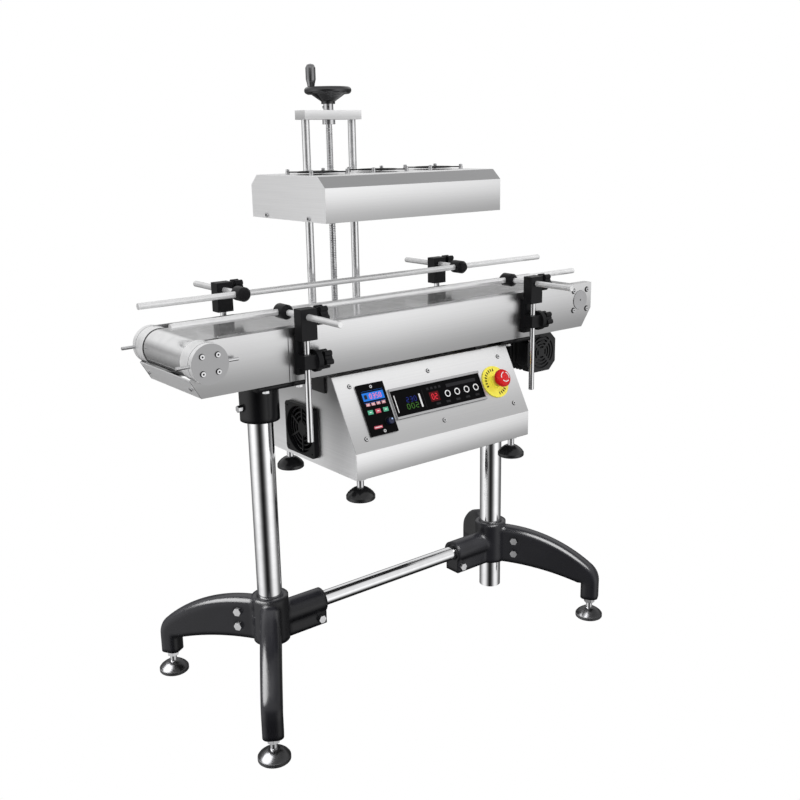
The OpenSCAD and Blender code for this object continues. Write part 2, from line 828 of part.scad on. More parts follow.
// Bars below the rails that carry the box and the motor
module mounting_brackets() {
    bar_y = rail_y - rail_wall;
    seat_x = motor_size / 2 - 4;
    seat_wall = 8;
    color("#232325") {
        difference() {
            union() {
                block([box_x0 - bar_w, -bar_y, rail_z - bar_t], [box_x0, bar_y, rail_z]);
                block([box_x0 - bar_t, tab_y[0], box_top - tab_h], [box_x0, tab_y[1], rail_z - bar_t]);
            }
            along_z(rail_z - bar_t - 1, rail_z + 1, box_x0 - bar_w / 2, 0, head_bolt_d);
        }
        block([right_bar_x - bar_w, -bar_y, rail_z - bar_t], [right_bar_x, bar_y, rail_z]);
        for (y = [-pillar_y, pillar_y])
            along_z(box_top, rail_z - bar_t, right_bar_x - bar_w / 2, y, pillar_d);
        difference() {
            block([motor_x - seat_x, motor_case_y, motor_z + motor_size / 2],
                [motor_x + seat_x, bar_y, rail_z]);
            block([motor_x - seat_x + seat_wall, -rail_y, motor_z + motor_size / 2 + bar_t],
                [motor_x + seat_x - seat_wall, foot_lip_y - bar_t, rail_z + 1]);
        }
    }
}

// Loop of the roller chain round both sprockets
module drive_chain() {
    color("#5a5754") slab_xz(sprocket_y + chain_side, sprocket_y + sprocket_t - chain_side)
        translate([motor_x, motor_z]) difference() {
            oval(sprocket_r + gap + chain_t, chain_len, chain_turn);
            oval(sprocket_r + gap, chain_len, chain_turn);
        }
}

// Sheet guard over the chain behind the rear rail
module chain_guard() {
    wall = 2.5;
    color("#c8cacd") difference() {
        slab_xz(rail_y, guard_end_y) translate([motor_x, motor_z]) oval(guard_r, chain_len, chain_turn);
        slab_xz(rail_y + wall, guard_end_y - wall) translate([motor_x, motor_z])
            oval(guard_r - wall, chain_len, chain_turn);
        along_y(rail_y - 1, rail_y + wall + 1, drive_x, axle_z, 2 * (guard_r - 2 * wall));
        along_y(rail_y - 1, rail_y + wall + 1, motor_x, motor_z, 2 * output_d);
    }
}

// Places the children on the sloped panel: u along X, v up the slope, outward along Z
module on_panel(u, v) {
    translate([box_x0, -box_front_y, fold_z]) rotate([panel_turn, 0, 0]) translate([u, v, 0]) children();
}

// Side view of the box, inset by a wall
module box_outline(inset) {
    polygon([[-box_front_y + inset, box_z + inset], [-box_front_y + inset, fold_z],
        [-box_front_y + panel_depth, box_top - inset], [box_back_y - inset, box_top - inset],
        [box_back_y - inset, box_z + inset]]);
}

// A half space outside the sloped panel, from a depth below its face
module before_panel(depth) {
    on_panel(-box_w, -panel_len) translate([0, 0, -depth]) cube([3 * box_w, 3 * panel_len, box_h]);
}

module control_box() {
    vent_n = 8;
    vent_pitch = 12;
    vent_w = 4;
    vent_y = -40;
    vent_z = box_z + 40;
    vent_h = 60;
    color("#c3c5c8") difference() {
        slab_yz(box_x0, box_x1) box_outline(0);
        before_panel(sheet);
        difference() {
            slab_yz(box_x0 + sheet, box_x1 - sheet) box_outline(sheet);
            before_panel(2 * sheet);
        }
        on_panel(panel_lip_u, panel_lip_v) translate([0, 0, -3 * sheet])
            cube([box_w - 2 * panel_lip_u, panel_len - 2 * panel_lip_v, 4 * sheet]);
        along_x(box_x0 - 1, box_x0 + sheet + 1, box_fan_y, box_fan_z, box_fan_d);
        for (i = [0 : vent_n - 1]) block([box_x1 - sheet - 1, vent_y + i * vent_pitch, vent_z],
            [box_x1 + 1, vent_y + i * vent_pitch + vent_w, vent_z + vent_h]);
    }
}

// Cut-out of a unit in the panel, smaller all round than its bezel
module unit_hole(u, v, w, h) {
    on_panel(u + unit_lap, v + unit_lap) translate([0, 0, -sheet - 1])
        cube([w - 2 * unit_lap, h - 2 * unit_lap, sheet + 2]);
}

// Case of a unit behind the panel, with clearance in its cut-out
module unit_case(w, h) {
    in = unit_lap + fit;
    translate([in, in, -unit_depth]) cube([w - 2 * in, h - 2 * in, unit_depth]);
}

module control_panel() {
    color("#cfd1d3") difference() {
        on_panel(0, 0) translate([0, 0, -sheet]) cube([box_w, panel_len, sheet]);
        unit_hole(ctl_u, ctl_v, ctl_w, ctl_h);
        unit_hole(dis_u, dis_v, dis_w, dis_h);
        on_panel(stop_u, stop_v) translate([0, 0, -sheet - 1])
            cylinder(d = stop_sleeve_d + 1, h = sheet + 2);
        for (u = [panel_screw_in, box_w / 2, box_w - panel_screw_in], v = panel_screw_v)
            on_panel(u, v) translate([0, 0, -sheet - 1])
                cylinder(d = panel_screw_d + 2 * fit, h = sheet + 2);
    }
}

// Power stage on the box floor: heat sink with fins and capacitors
module power_module() {
    sink_room = 130;
    sink = [box_w - 2 * sink_room, 110, 8];
    fin = [0.6 * sink[0], 3, 34];
    fin_n = 10;
    can_d = 26;
    can_h = 46;
    color("#8b8f94") translate([box_x0 + sink_room, -20, box_z + sheet]) {
        cube(sink);
        for (i = [0 : fin_n - 1]) translate([0, i * (sink[1] - fin[1]) / (fin_n - 1), sink[2]]) cube(fin);
        for (i = [0.25, 0.75], j = [0.25, 0.75])
            translate([fin[0] + i * (sink[0] - fin[0]), j * sink[1], sink[2]]) cylinder(d = can_d, h = can_h);
    }
}

// Motor speed controller in the panel: case with a recessed face, keys and a bored dial seat
module speed_controller() {
    color("#16171a") on_panel(ctl_u, ctl_v) difference() {
        union() {
            cube([ctl_w, ctl_h, bezel_t]);
            unit_case(ctl_w, ctl_h);
        }
        translate([6, ctl_h - 38, bezel_t - 1]) cube([ctl_w - 12, 24, 2]);
        translate([knob_u - ctl_u, knob_v - ctl_v, bezel_t - dial_in - gap])
            cylinder(d = dial_pin_d + 2 * slip, h = dial_in + gap + 1);
    }
}

// Display of the sealer in the panel: window between two trim bars
module display_unit() {
    color("#101114") on_panel(dis_u, dis_v) difference() {
        union() {
            cube([dis_w, dis_h, bezel_t - 2]);
            for (v = [0, dis_h - 5]) translate([0, v, 0]) cube([dis_w, 5, bezel_t]);
            unit_case(dis_w, dis_h);
        }
        translate([5, 8, bezel_t - 3]) cube([dis_w - 10, dis_h - 16, 2]);
    }
}

// Round plate behind the stop button, with its threaded sleeve through the panel
module estop_plate() {
    color("#f2d21b") on_panel(stop_u, stop_v) difference() {
        union() {
            cylinder(d = stop_d, h = stop_plate_t);
            cylinder(d = stop_collar_d, h = stop_collar_h);
            translate([0, 0, -stop_sleeve_len]) cylinder(d = stop_sleeve_d, h = stop_sleeve_len);
        }
        translate([0, 0, -stop_sleeve_len - 1])
            cylinder(d = stop_stem_d + 2 * slip, h = stop_sleeve_len + stop_collar_h + 2);
    }
}

module estop_plunger() {
    color("#2a2a2c") on_panel(stop_u, stop_v) translate([0, 0, -stop_in])
        cylinder(d = stop_stem_d, h = stop_in + stop_rest + stop_head_in);
}

// Mushroom head that turns on the plunger
module estop_head() {
    r = stop_head_d / 2;
    color("#d3161b") on_panel(stop_u, stop_v) translate([0, 0, stop_rest]) difference() {
        rotate_extrude() polygon([[0, 0], [r - 5, 0], [r - 4, 5], [r, 7], [r, 13], [r - 2, 16], [r - 7, 19],
            [0, 20]]);
        translate([0, 0, -1]) cylinder(d = stop_stem_d + 2 * slip, h = 1 + stop_head_in + gap);
    }
}

// A fan wheel about Z: bored hub and turned blades
module fan_wheel(d) {
    blade = [(d - fan_hub_d) / 2 + 1, d * 0.3, 2.2];
    blade_turn = 38;
    difference() {
        union() {
            cylinder(d = fan_hub_d, h = fan_wheel_h);
            for (i = [0 : fan_blades - 1]) rotate([0, 0, i * 360 / fan_blades]) intersection() {
                translate([fan_hub_d / 2 - 2, 0, fan_wheel_h / 2]) rotate([blade_turn, 0, 0])
                    translate([0, -blade[1] / 2, -blade[2] / 2]) cube(blade);
                cylinder(d = d, h = fan_wheel_h);
            }
        }
        translate([0, 0, -1]) cylinder(d = fan_pin_d + 2 * slip, h = fan_wheel_h + 2);
    }
}

// Frame and guard of the box fan, with its spider and shaft pin
module box_fan_guard() {
    color("#1b1b1d") translate([box_x0, box_fan_y, box_fan_z]) rotate([0, -90, 0]) difference() {
        union() {
            linear_extrude(box_guard_t) difference() {
                round_square(box_fan_size, box_fan_size, 8);
                circle(d = box_fan_d);
            }
            linear_extrude(box_guard_bar) for (a = [0, 60, 120]) rotate(a)
                square([box_fan_d + 2, box_guard_bar], center = true);
            for (r = [16 : 9 : 43]) linear_extrude(box_guard_ring) difference() {
                circle(r + box_guard_ring / 2);
                circle(r - box_guard_ring / 2);
            }
            cylinder(r = 14, h = box_guard_bar);
            translate([0, 0, -box_fan_in - fan_wheel_h])
                cylinder(d = fan_pin_d, h = box_fan_in + fan_wheel_h + 1);
        }
        for (i = [-1, 1], j = [-1, 1]) translate([i * box_fan_screw, j * box_fan_screw, -1])
            cylinder(d = fan_screw_d + 2 * fit, h = box_guard_t + 2);
    }
}

module box_fan_rotor() {
    color("#1b1b1d") translate([box_x0 + box_fan_in, box_fan_y, box_fan_z]) rotate([0, 90, 0])
        fan_wheel(box_fan_d - 6);
}

module box_feet() {
    color("#232325") for (x = [box_x0 + box_foot_in, box_x1 - box_foot_in],
        y = [-box_front_y + box_foot_in, box_back_y - box_foot_in])
        translate([x, y, box_z - box_foot_h])
            round_foot(box_foot_d, box_foot_dome, box_foot_h - box_foot_nut, box_foot_nut, box_foot_h);
}

// Posts of the lift on flanges on the box, with the lower bearing of the screw
module guide_posts() {
    color("#ced1d5") {
        for (x = post_xs) {
            along_z(box_top, bridge_z + post_in, x, post_y, post_d);
            along_z(box_top, box_top + post_foot_h, x, post_y, post_foot_d);
        }
        difference() {
            along_z(box_top, box_top + post_foot_h, post_x, post_y, post_foot_d);
            along_z(box_top + screw_seat, box_top + post_foot_h + 1, post_x, post_y, screw_d + 2 * slip);
        }
    }
}

module bridge_plate() {
    color("#c3c6c9") difference() {
        block([post_x - bridge_len / 2, post_y - bridge_w / 2, bridge_z],
            [post_x + bridge_len / 2, post_y + bridge_w / 2, bridge_z + bridge_t]);
        for (x = post_xs) along_z(bridge_z - 1, bridge_z + post_in, x, post_y, post_d + 2 * slip);
        along_z(bridge_z - 1, bridge_z + bridge_t + 1, post_x, post_y, screw_d + 2 * slip);
    }
}

module lead_screw() {
    color("#a7aaae") {
        along_z(box_top + screw_seat + gap, screw_top, post_x, post_y, screw_d);
        along_z(bridge_z - collar_h - gap, bridge_z - gap, post_x, post_y, collar_d);
    }
}

// Handwheel: hub, dished web, round rim and the pin of the grip
module handwheel() {
    r = wheel_d / 2;
    color("#1a1a1c") translate([post_x, post_y, 0]) {
        difference() {
            union() {
                translate([0, 0, hub_z]) cylinder(d = neck_d, h = neck_h);
                translate([0, 0, hub_z + neck_h]) cylinder(d = hub_d, h = hub_h - neck_h + 6);
                translate([0, 0, wheel_z]) rotate_extrude() translate([r - wheel_rim / 2, 0])
                    circle(d = wheel_rim);
                rotate_extrude() polygon([[hub_d / 2 - 1, hub_z + neck_h + 4],
                    [r - wheel_rim / 2, wheel_z - 3], [r - wheel_rim / 2, wheel_z + 2],
                    [hub_d / 2 - 1, hub_z + hub_h]]);
                rotate([0, 0, grip_turn]) along_z(wheel_z - pin_end, grip_z - gap, grip_r, 0, pin_boss_d);
            }
            translate([0, 0, hub_z - 1]) cylinder(d = screw_d + 2 * slip, h = hub_h + 1);
        }
        rotate([0, 0, grip_turn]) along_z(wheel_z, grip_z + grip_len - pin_end, grip_r, 0, pin_d);
    }
}

module crank_grip() {
    r = grip_d / 2;
    color("#161618") translate([post_x, post_y, grip_z]) rotate([0, 0, grip_turn]) translate([grip_r, 0, 0])
        difference() {
            rotate_extrude() polygon([[0, 0], [r - 3, 0], [r - 2, 6], [r, 14], [r, grip_len - 8],
                [r - 3, grip_len - 2], [0, grip_len]]);
            translate([0, 0, -1]) cylinder(d = pin_d + 2 * slip, h = grip_len - pin_end + 1 + gap);
        }
}

// End view of the head, inset by a wall
module head_outline(inset) {
    polygon([[head_y0 + inset, head_z - inset], [head_y0 + inset, head_top - head_drop - inset / 2],
        [head_y0 + head_slope + inset / 2, head_top - inset],
        [head_y1 - head_slope - inset / 2, head_top - inset],
        [head_y1 - inset, head_top - head_drop - inset / 2], [head_y1 - inset, head_z - inset]]);
}

module head_cover() {
    color("#c9cbce") difference() {
        slab_yz(head_x0, head_x1) head_outline(0);
        slab_yz(head_x0 + head_sheet, head_x1 - head_sheet) head_outline(head_sheet);
        for (x = fan_x) along_z(head_top - 2 * head_sheet, head_top + 1, x, head_ym, 2 * fan_hole);
        for (x = fan_x, i = [-1, 1], j = [-1, 1]) along_z(head_top - 2 * head_sheet, head_top + 1,
            x + i * fan_screw, head_ym + j * fan_screw, fan_screw_d + 2 * fit);
        for (x = post_xs) along_z(head_top - head_h / 2, head_top + 1, x, post_y, post_hole_d);
        along_z(head_top - head_h / 2, head_top + 1, post_x, post_y, screw_hole_d);
        for (x = [head_x0 - 1, head_x1 - head_sheet - 1], y = head_screw_y)
            along_x(x, x + head_sheet + 2, y, head_screw_z, screw_shank_d + 2 * fit);
    }
}

// Base plate of the head with an upturned rim, open below the coil
module head_base() {
    rim_h = 12;
    rim_t = 2;
    inset = head_sheet + 2 * fit;
    color("#b9bcbf") difference() {
        block([head_x0 + inset, head_y0 + inset, head_z],
            [head_x1 - inset, head_y1 - inset, head_z + rim_h]);
        block([head_x0 + inset + rim_t, head_y0 + inset + rim_t, head_z + base_t],
            [head_x1 - inset - rim_t, head_y1 - inset - rim_t, head_z + rim_h + 1]);
        for (x = post_xs) along_z(head_z - 1, head_z + base_t + 1, x, post_y, post_hole_d);
        along_z(head_z - 1, head_z + base_t + 1, post_x, post_y, screw_hole_d);
        for (x = [head_x0, head_x1 - head_screw_in - 1], y = head_screw_y)
            along_x(x, x + head_screw_in + 1, y, head_screw_z, screw_shank_d + 2 * fit);
    }
}

// Long oval winding on the head base
module induction_coil() {
    r = coil_w / 2;
    color("#b4672e") translate([head_xm - coil_len / 2 + r, coil_y, head_z + base_t])
        linear_extrude(coil_h) difference() {
            oval(r, coil_len - coil_w, 0);
            oval(r - coil_band, coil_len - coil_w, 0);
        }
}

// Carriage on the head base: two post bushings and the nut of the screw on one bar
module lift_carriage() {
    color("#7e8287") difference() {
        union() {
            for (x = post_xs) along_z(carriage_z, carriage_z + carriage_h, x, post_y, bushing_d);
            along_z(carriage_z, carriage_z + carriage_h, post_x, post_y, screw_d + 16);
            block([post_xs[0], post_y - carriage_bar_w / 2, carriage_z],
                [post_xs[1], post_y + carriage_bar_w / 2, carriage_z + carriage_bar_w]);
        }
        for (x = post_xs) along_z(carriage_z - 1, carriage_z + carriage_h + 1, x, post_y, post_d + 2 * gap);
        along_z(carriage_z - 1, carriage_z + carriage_h + 1, post_x, post_y, screw_d + 2 * gap);
    }
}

// Frames of the head fans below the cover, each with a spider and a shaft pin
module fan_frames() {
    color("#1c1c1e") for (x = fan_x) translate([x, head_ym, fan_top - fan_depth]) difference() {
        union() {
            linear_extrude(fan_depth) difference() {
                round_square(fan_size, fan_size, 6);
                circle(d = fan_d + 2);
            }
            linear_extrude(fan_spider_t) for (a = [45, 135]) rotate(a)
                square([fan_d + 6, fan_pin_d], center = true);
            cylinder(d = fan_hub_d - 6, h = fan_spider_t);
            cylinder(d = fan_pin_d, h = fan_depth - 2);
        }
        for (i = [-1, 1], j = [-1, 1]) translate([i * fan_screw, j * fan_screw, -1])
            cylinder(d = fan_screw_d + 2 * fit, h = fan_depth + 2);
    }
}

// Guards over the head fans: rings on four arms, on spacers
module fan_guards() {
    rings = [16, 27, 38];
    color("#2a2a2c") for (x = fan_x) translate([x, head_ym, head_top]) difference() {
        union() {
            translate([0, 0, guard_up - guard_wire]) linear_extrude(guard_wire) {
                for (r = rings) difference() {
                    circle(r + guard_wire / 2);
                    circle(r - guard_wire / 2);
                }
                for (a = [45, 135]) rotate(a)
                    square([2 * fan_screw * sqrt(2), guard_wire + 1], center = true);
                circle(9);
            }
            for (i = [-1, 1], j = [-1, 1]) translate([i * fan_screw, j * fan_screw, 0])
                cylinder(d = 8, h = guard_up);
        }
        for (i = [-1, 1], j = [-1, 1]) translate([i * fan_screw, j * fan_screw, -1])
            cylinder(d = fan_screw_d + 2 * fit, h = guard_up + 2);
    }
}

module head_screws() {
    color("#b7babe") {
        for (x = fan_x, i = [-1, 1], j = [-1, 1])
            translate([x + i * fan_screw, head_ym + j * fan_screw, head_top + guard_up])
                round_screw(fan_screw_d, fan_screw_head_d, fan_screw_head_h, guard_up + fan_depth);
        for (y = head_screw_y) {
            translate([head_x0, y, head_screw_z]) rotate([0, -90, 0])
                round_screw(screw_shank_d, screw_head_d, screw_head_h, head_screw_in);
            translate([head_x1, y, head_screw_z]) rotate([0, 90, 0])
                round_screw(screw_shank_d, screw_head_d, screw_head_h, head_screw_in);
        }
    }
}

module head_fan_rotor(i) {
    color("#222224") translate([fan_x[i], head_ym, fan_top - fan_depth + fan_spider_t + gap])
        fan_wheel(fan_d - 4);
}

module fan_rotor_1() {
    head_fan_rotor(0);
}

module fan_rotor_2() {
    head_fan_rotor(1);
}

module fan_rotor_3() {
    head_fan_rotor(2);
}

module speed_knob() {
    color("#dfe6ee") on_panel(knob_u, knob_v) {
        translate([0, 0, bezel_t + gap]) difference() {
            cylinder(d = dial_d, h = dial_h);
            translate([0, dial_d / 4, dial_h]) cube([1.4, dial_d / 2, 2], center = true);
        }
        translate([0, 0, bezel_t - dial_in]) cylinder(d = dial_pin_d, h = dial_in + 1);
    }
}

// A roller on a shaft along Y
module roller(x, y0, y1) {
    along_y(-belt_half, belt_half, x, axle_z, 2 * roller_r);
    along_y(y0, y1, x, axle_z, shaft_d);
}

module tail_roller() {
    color("#9da0a4") roller(-tail_x, -shaft_end_y, shaft_end_y);
}

// Toothed wheel about Y, the tooth gaps cut into its rim
module sprocket(x, z, bore) {
    slab_xz(sprocket_y, sprocket_y + sprocket_t) translate([x, z]) difference() {
        circle(sprocket_r);
        for (i = [0 : sprocket_teeth - 1]) rotate(i * 360 / sprocket_teeth) translate([sprocket_r + 0.6, 0])
            circle(2.4, $fn = 16);
        circle(d = bore - 2);
    }
}

module drive_roller() {
    color("#9da0a4") {
        roller(drive_x, -rail_y + bearing_floor + gap, sprocket_y + sprocket_t + shaft_over);
        sprocket(drive_x, axle_z, shaft_d);
    }
}

module motor_sprocket() {
    color("#77797c") {
        along_y(gearbox_end_y - output_depth + gap, sprocket_y + sprocket_t + shaft_over,
            motor_x, motor_z, output_d);
        sprocket(motor_x, motor_z, output_d);
    }
}

// Star knob about X with its threaded stem, from its seat outwards
module star_knob() {
    rotate([0, 90, 0]) {
        cylinder(d = knob_stem_d, h = knob_stem_h);
        translate([0, 0, knob_stem_h]) linear_extrude(knob_t) {
            circle(knob_r * 0.72);
            for (i = [0 : 4]) rotate(i * 72) translate([knob_r * 0.7, 0]) circle(knob_r * 0.3);
        }
    }
}

// Foot bracket of one upright at the front rail: plate, clamp ear with bore, swivel disc and knob
module upright_bracket(x) {
    seat = x > cover_x[0] - base_plate_w && x < cover_x[1] + base_plate_w ? cover_t : 0;
    face = -rail_y - seat;
    difference() {
        union() {
            block([x - base_plate_w / 2, -rail_y - base_plate_t, base_z[0]],
                [x + base_plate_w / 2, face, base_z[1]]);
            block([x - base_plate_w / 2, -upright_y - guide_d, clamp_z - clamp_h / 2],
                [x + base_plate_w / 2, face, clamp_z + clamp_h / 2]);
            along_x(x + base_plate_w / 2, x + base_plate_w / 2 + swivel_t, -upright_y, clamp_z, swivel_d);
        }
        along_z(clamp_z - clamp_h, clamp_z + clamp_h, x, -upright_y, guide_d + 2 * fit);
    }
    translate([x + base_plate_w / 2 + swivel_t, -upright_y, clamp_z]) star_knob();
}

module guide_brackets() {
    color("#1c1c1e") {
        for (x = front_bracket_x) upright_bracket(x);
        mirror([0, 1, 0]) for (x = rear_bracket_x) upright_bracket(x);
    }
}

// Uprights of one guide, drawn at the front
module uprights(xs, z, drop) {
    for (x = xs) along_z(z - drop, z - upright_short, x, -upright_y, guide_d);
}

// Cross blocks of one guide: upright bore from below, cross rod bore and a knob
module cross_blocks(xs, z) {
    for (x = xs) {
        difference() {
            block([x - block_w / 2, -upright_y - block_t / 2, z - block_low],
                [x + block_w / 2, -upright_y + block_t / 2, z + block_high]);
            along_z(z - block_low - 1, z - upright_short, x, -upright_y, guide_d + 2 * slip);
            along_y(-upright_y - block_t, -upright_y + block_t, x, z, guide_d + 2 * fit);
        }
        translate([x + block_w / 2, -upright_y, z]) star_knob();
    }
}

// Tapered clamps that hold the rail on the cross rods
module rail_clamps(xs, z) {
    r = rail_clamp_d / 2;
    h = rail_clamp_len / 2;
    for (x = xs) difference() {
        translate([x, -guide_y, z]) rotate([90, 0, 0]) rotate_extrude()
            polygon([[0, -h], [r - 5, -h], [r, -h + 7], [r, h - 7], [r - 5, h], [0, h]]);
        along_x(x - r - 1, x + r + 1, -guide_y, z, guide_d + 2 * slip);
        along_y(-guide_y - h - 1, -cross_rod_in, x, z, guide_d + 2 * slip);
    }
}

// Guide rail and its cross rods, drawn at the front
module guide_rods(xs, z, mid) {
    along_x(mid - guide_len / 2, mid + guide_len / 2, -guide_y, z, guide_d);
    for (x = xs) along_y(-cross_rod_out, -cross_rod_in, x, z, guide_d);
}

module front_uprights() {
    color("#c6c9cd") uprights(front_bracket_x, guide_z, front_drop);
}

module front_cross_blocks() {
    color("#1c1c1e") cross_blocks(front_bracket_x, guide_z);
}

module front_rail_clamps() {
    color("#1c1c1e") rail_clamps(front_bracket_x, guide_z);
}

module front_guide_rods() {
    color("#c6c9cd") guide_rods(front_bracket_x, guide_z, guide_mid_x);
}

module rear_uprights() {
    color("#c6c9cd") mirror([0, 1, 0]) uprights(rear_bracket_x, guide_z + rear_lift, rear_drop);
}

module rear_cross_blocks() {
    color("#1c1c1e") mirror([0, 1, 0]) cross_blocks(rear_bracket_x, guide_z + rear_lift);
}

module rear_rail_clamps() {
    color("#1c1c1e") mirror([0, 1, 0]) rail_clamps(rear_bracket_x, guide_z + rear_lift);
}

module rear_guide_rods() {
    color("#c6c9cd") mirror([0, 1, 0]) guide_rods(rear_bracket_x, guide_z + rear_lift, rear_mid_x);
}

left_base();
right_base();
cross_tube();
stand_bolts();
levelling_feet();
leg_tubes();
leg_heads();
front_side_rail();
rear_side_rail();
slider_bed();
conveyor_belt();
tail_caps();
tail_guard_plate();
bearing_plates();
machine_screws();
gear_motor();
motor_fan_cover();
mounting_brackets();
drive_chain();
chain_guard();
control_box();
control_panel();
power_module();
speed_controller();
display_unit();
estop_plate();
box_fan_guard();
box_feet();
guide_posts();
bridge_plate();
guide_brackets();
tail_roller();
drive_roller();
motor_sprocket();
box_fan_rotor();
speed_knob();
estop_plunger();
estop_head();
lead_screw();
handwheel();
crank_grip();
head_cover();
head_base();
induction_coil();
lift_carriage();
fan_frames();
fan_guards();
head_screws();
fan_rotor_1();
fan_rotor_2();
fan_rotor_3();
front_uprights();
front_cross_blocks();
front_rail_clamps();
front_guide_rods();
rear_uprights();
rear_cross_blocks();
rear_rail_clamps();
rear_guide_rods();
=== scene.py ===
import json
import math
import bmesh
import bpy
from mathutils import Matrix, Vector


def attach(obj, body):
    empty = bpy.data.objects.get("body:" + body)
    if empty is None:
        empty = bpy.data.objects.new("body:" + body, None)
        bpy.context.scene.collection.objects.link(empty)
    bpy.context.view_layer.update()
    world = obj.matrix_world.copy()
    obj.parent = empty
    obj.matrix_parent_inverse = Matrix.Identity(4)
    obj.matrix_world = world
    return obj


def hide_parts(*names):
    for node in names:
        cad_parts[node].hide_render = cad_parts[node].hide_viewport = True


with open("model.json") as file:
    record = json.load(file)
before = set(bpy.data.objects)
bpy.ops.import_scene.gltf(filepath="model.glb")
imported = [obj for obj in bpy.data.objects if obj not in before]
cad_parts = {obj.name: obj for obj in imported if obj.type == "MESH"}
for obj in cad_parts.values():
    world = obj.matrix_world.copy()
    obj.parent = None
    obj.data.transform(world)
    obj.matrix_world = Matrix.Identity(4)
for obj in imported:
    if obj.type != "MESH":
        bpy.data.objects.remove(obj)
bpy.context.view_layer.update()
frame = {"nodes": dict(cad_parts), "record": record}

CAD = frame["nodes"]
BODY_OF = {n: b for b, ns in frame["record"]["behaviour"]["bodies"].items() for n in ns}
MM = 0.001


# Materials

class Look:
    """A procedural material on Object coordinates."""

    def __init__(self, name, color, roughness, metallic=0.0, specular=0.5):
        self.mat = bpy.data.materials.new(name)
        self.mat.use_nodes = True
        self.tree = self.mat.node_tree
        self.bsdf = self.tree.nodes["Principled BSDF"]
        self.set("Base Color", (*color, 1.0))
        self.set("Roughness", roughness)
        self.set("Metallic", metallic)
        self.set("Specular IOR Level", specular)
        self.coords = self.add("ShaderNodeTexCoord").outputs["Object"]

    def set(self, name, value):
        self.bsdf.inputs[name].default_value = value

    def add(self, kind, **settings):
        node = self.tree.nodes.new(kind)
        for key, value in settings.items():
            setattr(node, key, value)
        return node

    def join(self, out, into):
        self.tree.links.new(out, into)

    def noise(self, stretch, detail=3.0):
        place = self.add("ShaderNodeMapping")
        place.inputs["Scale"].default_value = stretch
        self.join(self.coords, place.inputs["Vector"])
        noise = self.add("ShaderNodeTexNoise")
        noise.inputs["Scale"].default_value = 1.0
        noise.inputs["Detail"].default_value = detail
        self.join(place.outputs["Vector"], noise.inputs["Vector"])
        return noise.outputs["Fac"]

    def spread(self, fac, low, high):
        span = self.add("ShaderNodeMapRange")
        span.inputs["From Min"].default_value = 0.3
        span.inputs["From Max"].default_value = 0.7
        span.inputs["To Min"].default_value = low
        span.inputs["To Max"].default_value = high
        self.join(fac, span.inputs["Value"])
        return span.outputs["Result"]

    def shade(self, fac, dark, light):
        mix = self.add("ShaderNodeMix", data_type="RGBA")
        mix.inputs["A"].default_value = (*dark, 1.0)
        mix.inputs["B"].default_value = (*light, 1.0)
        self.join(self.spread(fac, 0.0, 1.0), mix.inputs["Factor"])
        self.join(mix.outputs["Result"], self.bsdf.inputs["Base Color"])

    def fade(self, axis, start, end, low, high):
        """Paints light and shade into the colour: tones it from low to high between two places along X, Y or
        Z, in millimetres.
        """
        split = self.add("ShaderNodeSeparateXYZ")
        self.join(self.coords, split.inputs["Vector"])
        span = self.add("ShaderNodeMapRange", interpolation_type="SMOOTHSTEP")
        span.inputs["From Min"].default_value = start * MM
        span.inputs["From Max"].default_value = end * MM
        span.inputs["To Min"].default_value = low
        span.inputs["To Max"].default_value = high
        self.join(split.outputs[axis], span.inputs["Value"])
        tone = self.add("ShaderNodeMix", data_type="RGBA", blend_type="MULTIPLY")
        tone.inputs["Factor"].default_value = 1.0
        socket = self.bsdf.inputs["Base Color"]
        self.join(socket.links[0].from_socket, tone.inputs["A"])
        self.join(span.outputs["Result"], tone.inputs["B"])
        self.join(tone.outputs["Result"], socket)

    def rough(self, fac, low, high):
        self.join(self.spread(fac, low, high), self.bsdf.inputs["Roughness"])

    def bump(self, fac, strength, distance, rounding=0.0):
        """Fine grain, in millimetres. With rounding, cast edges catch the light as rounded ones do."""
        node = self.add("ShaderNodeBump")
        node.inputs["Strength"].default_value = strength
        node.inputs["Distance"].default_value = distance * MM
        if rounding:
            edge = self.add("ShaderNodeBevel", samples=8)
            edge.inputs["Radius"].default_value = rounding * MM
            self.join(edge.outputs["Normal"], node.inputs["Normal"])
        self.join(fac, node.inputs["Height"])
        self.join(node.outputs["Normal"], self.bsdf.inputs["Normal"])


def grey(level):
    """A grey with the slight blue of steel."""
    return level, level, level + 0.005


def tint(color, factor):
    """A colour made darker or lighter."""
    return tuple(min(1.0, c * factor) for c in color)


def brushed_steel(name, color, roughness, stretch, painted_light_ramps=(), metallic=1.0):
    """Sheet with a brushed grain and, with painted light ramps, painted shade and highlight that change
    across it.
    """
    look = Look(name, color, roughness, metallic=metallic)
    grain = look.noise(stretch)
    look.shade(grain, tint(color, 0.96), tint(color, 1.03))
    for fade in painted_light_ramps:
        look.fade(*fade)
    look.rough(grain, roughness - 0.04, roughness + 0.05)
    look.bump(grain, 0.04, 0.4)
    return look.mat


def turned_metal(name, color, roughness, metallic=1.0, painted_light_ramps=()):
    """Turned, ground or cast metal with a faint cloud and, with painted light ramps, painted shade along it.
    """
    look = Look(name, color, roughness, metallic=metallic)
    cloud = look.noise((60, 60, 60))
    look.shade(cloud, tint(color, 0.94), tint(color, 1.04))
    for fade in painted_light_ramps:
        look.fade(*fade)
    look.rough(cloud, roughness - 0.03, roughness + 0.04)
    return look.mat


def moulded(name, color, roughness, grain_size=900, grain=0.06, specular=0.5, rounding=0.0):
    """Plastic, rubber, paint or print, with a faint cloud and a fine grain."""
    look = Look(name, color, roughness, specular=specular)
    cloud = look.noise((14, 14, 14))
    look.shade(cloud, tint(color, 0.88), tint(color, 1.12))
    look.rough(cloud, roughness - 0.04, roughness + 0.05)
    fine = look.noise((grain_size, grain_size, grain_size), 2.0)
    look.bump(fine, grain, 0.3, rounding)
    return look.mat


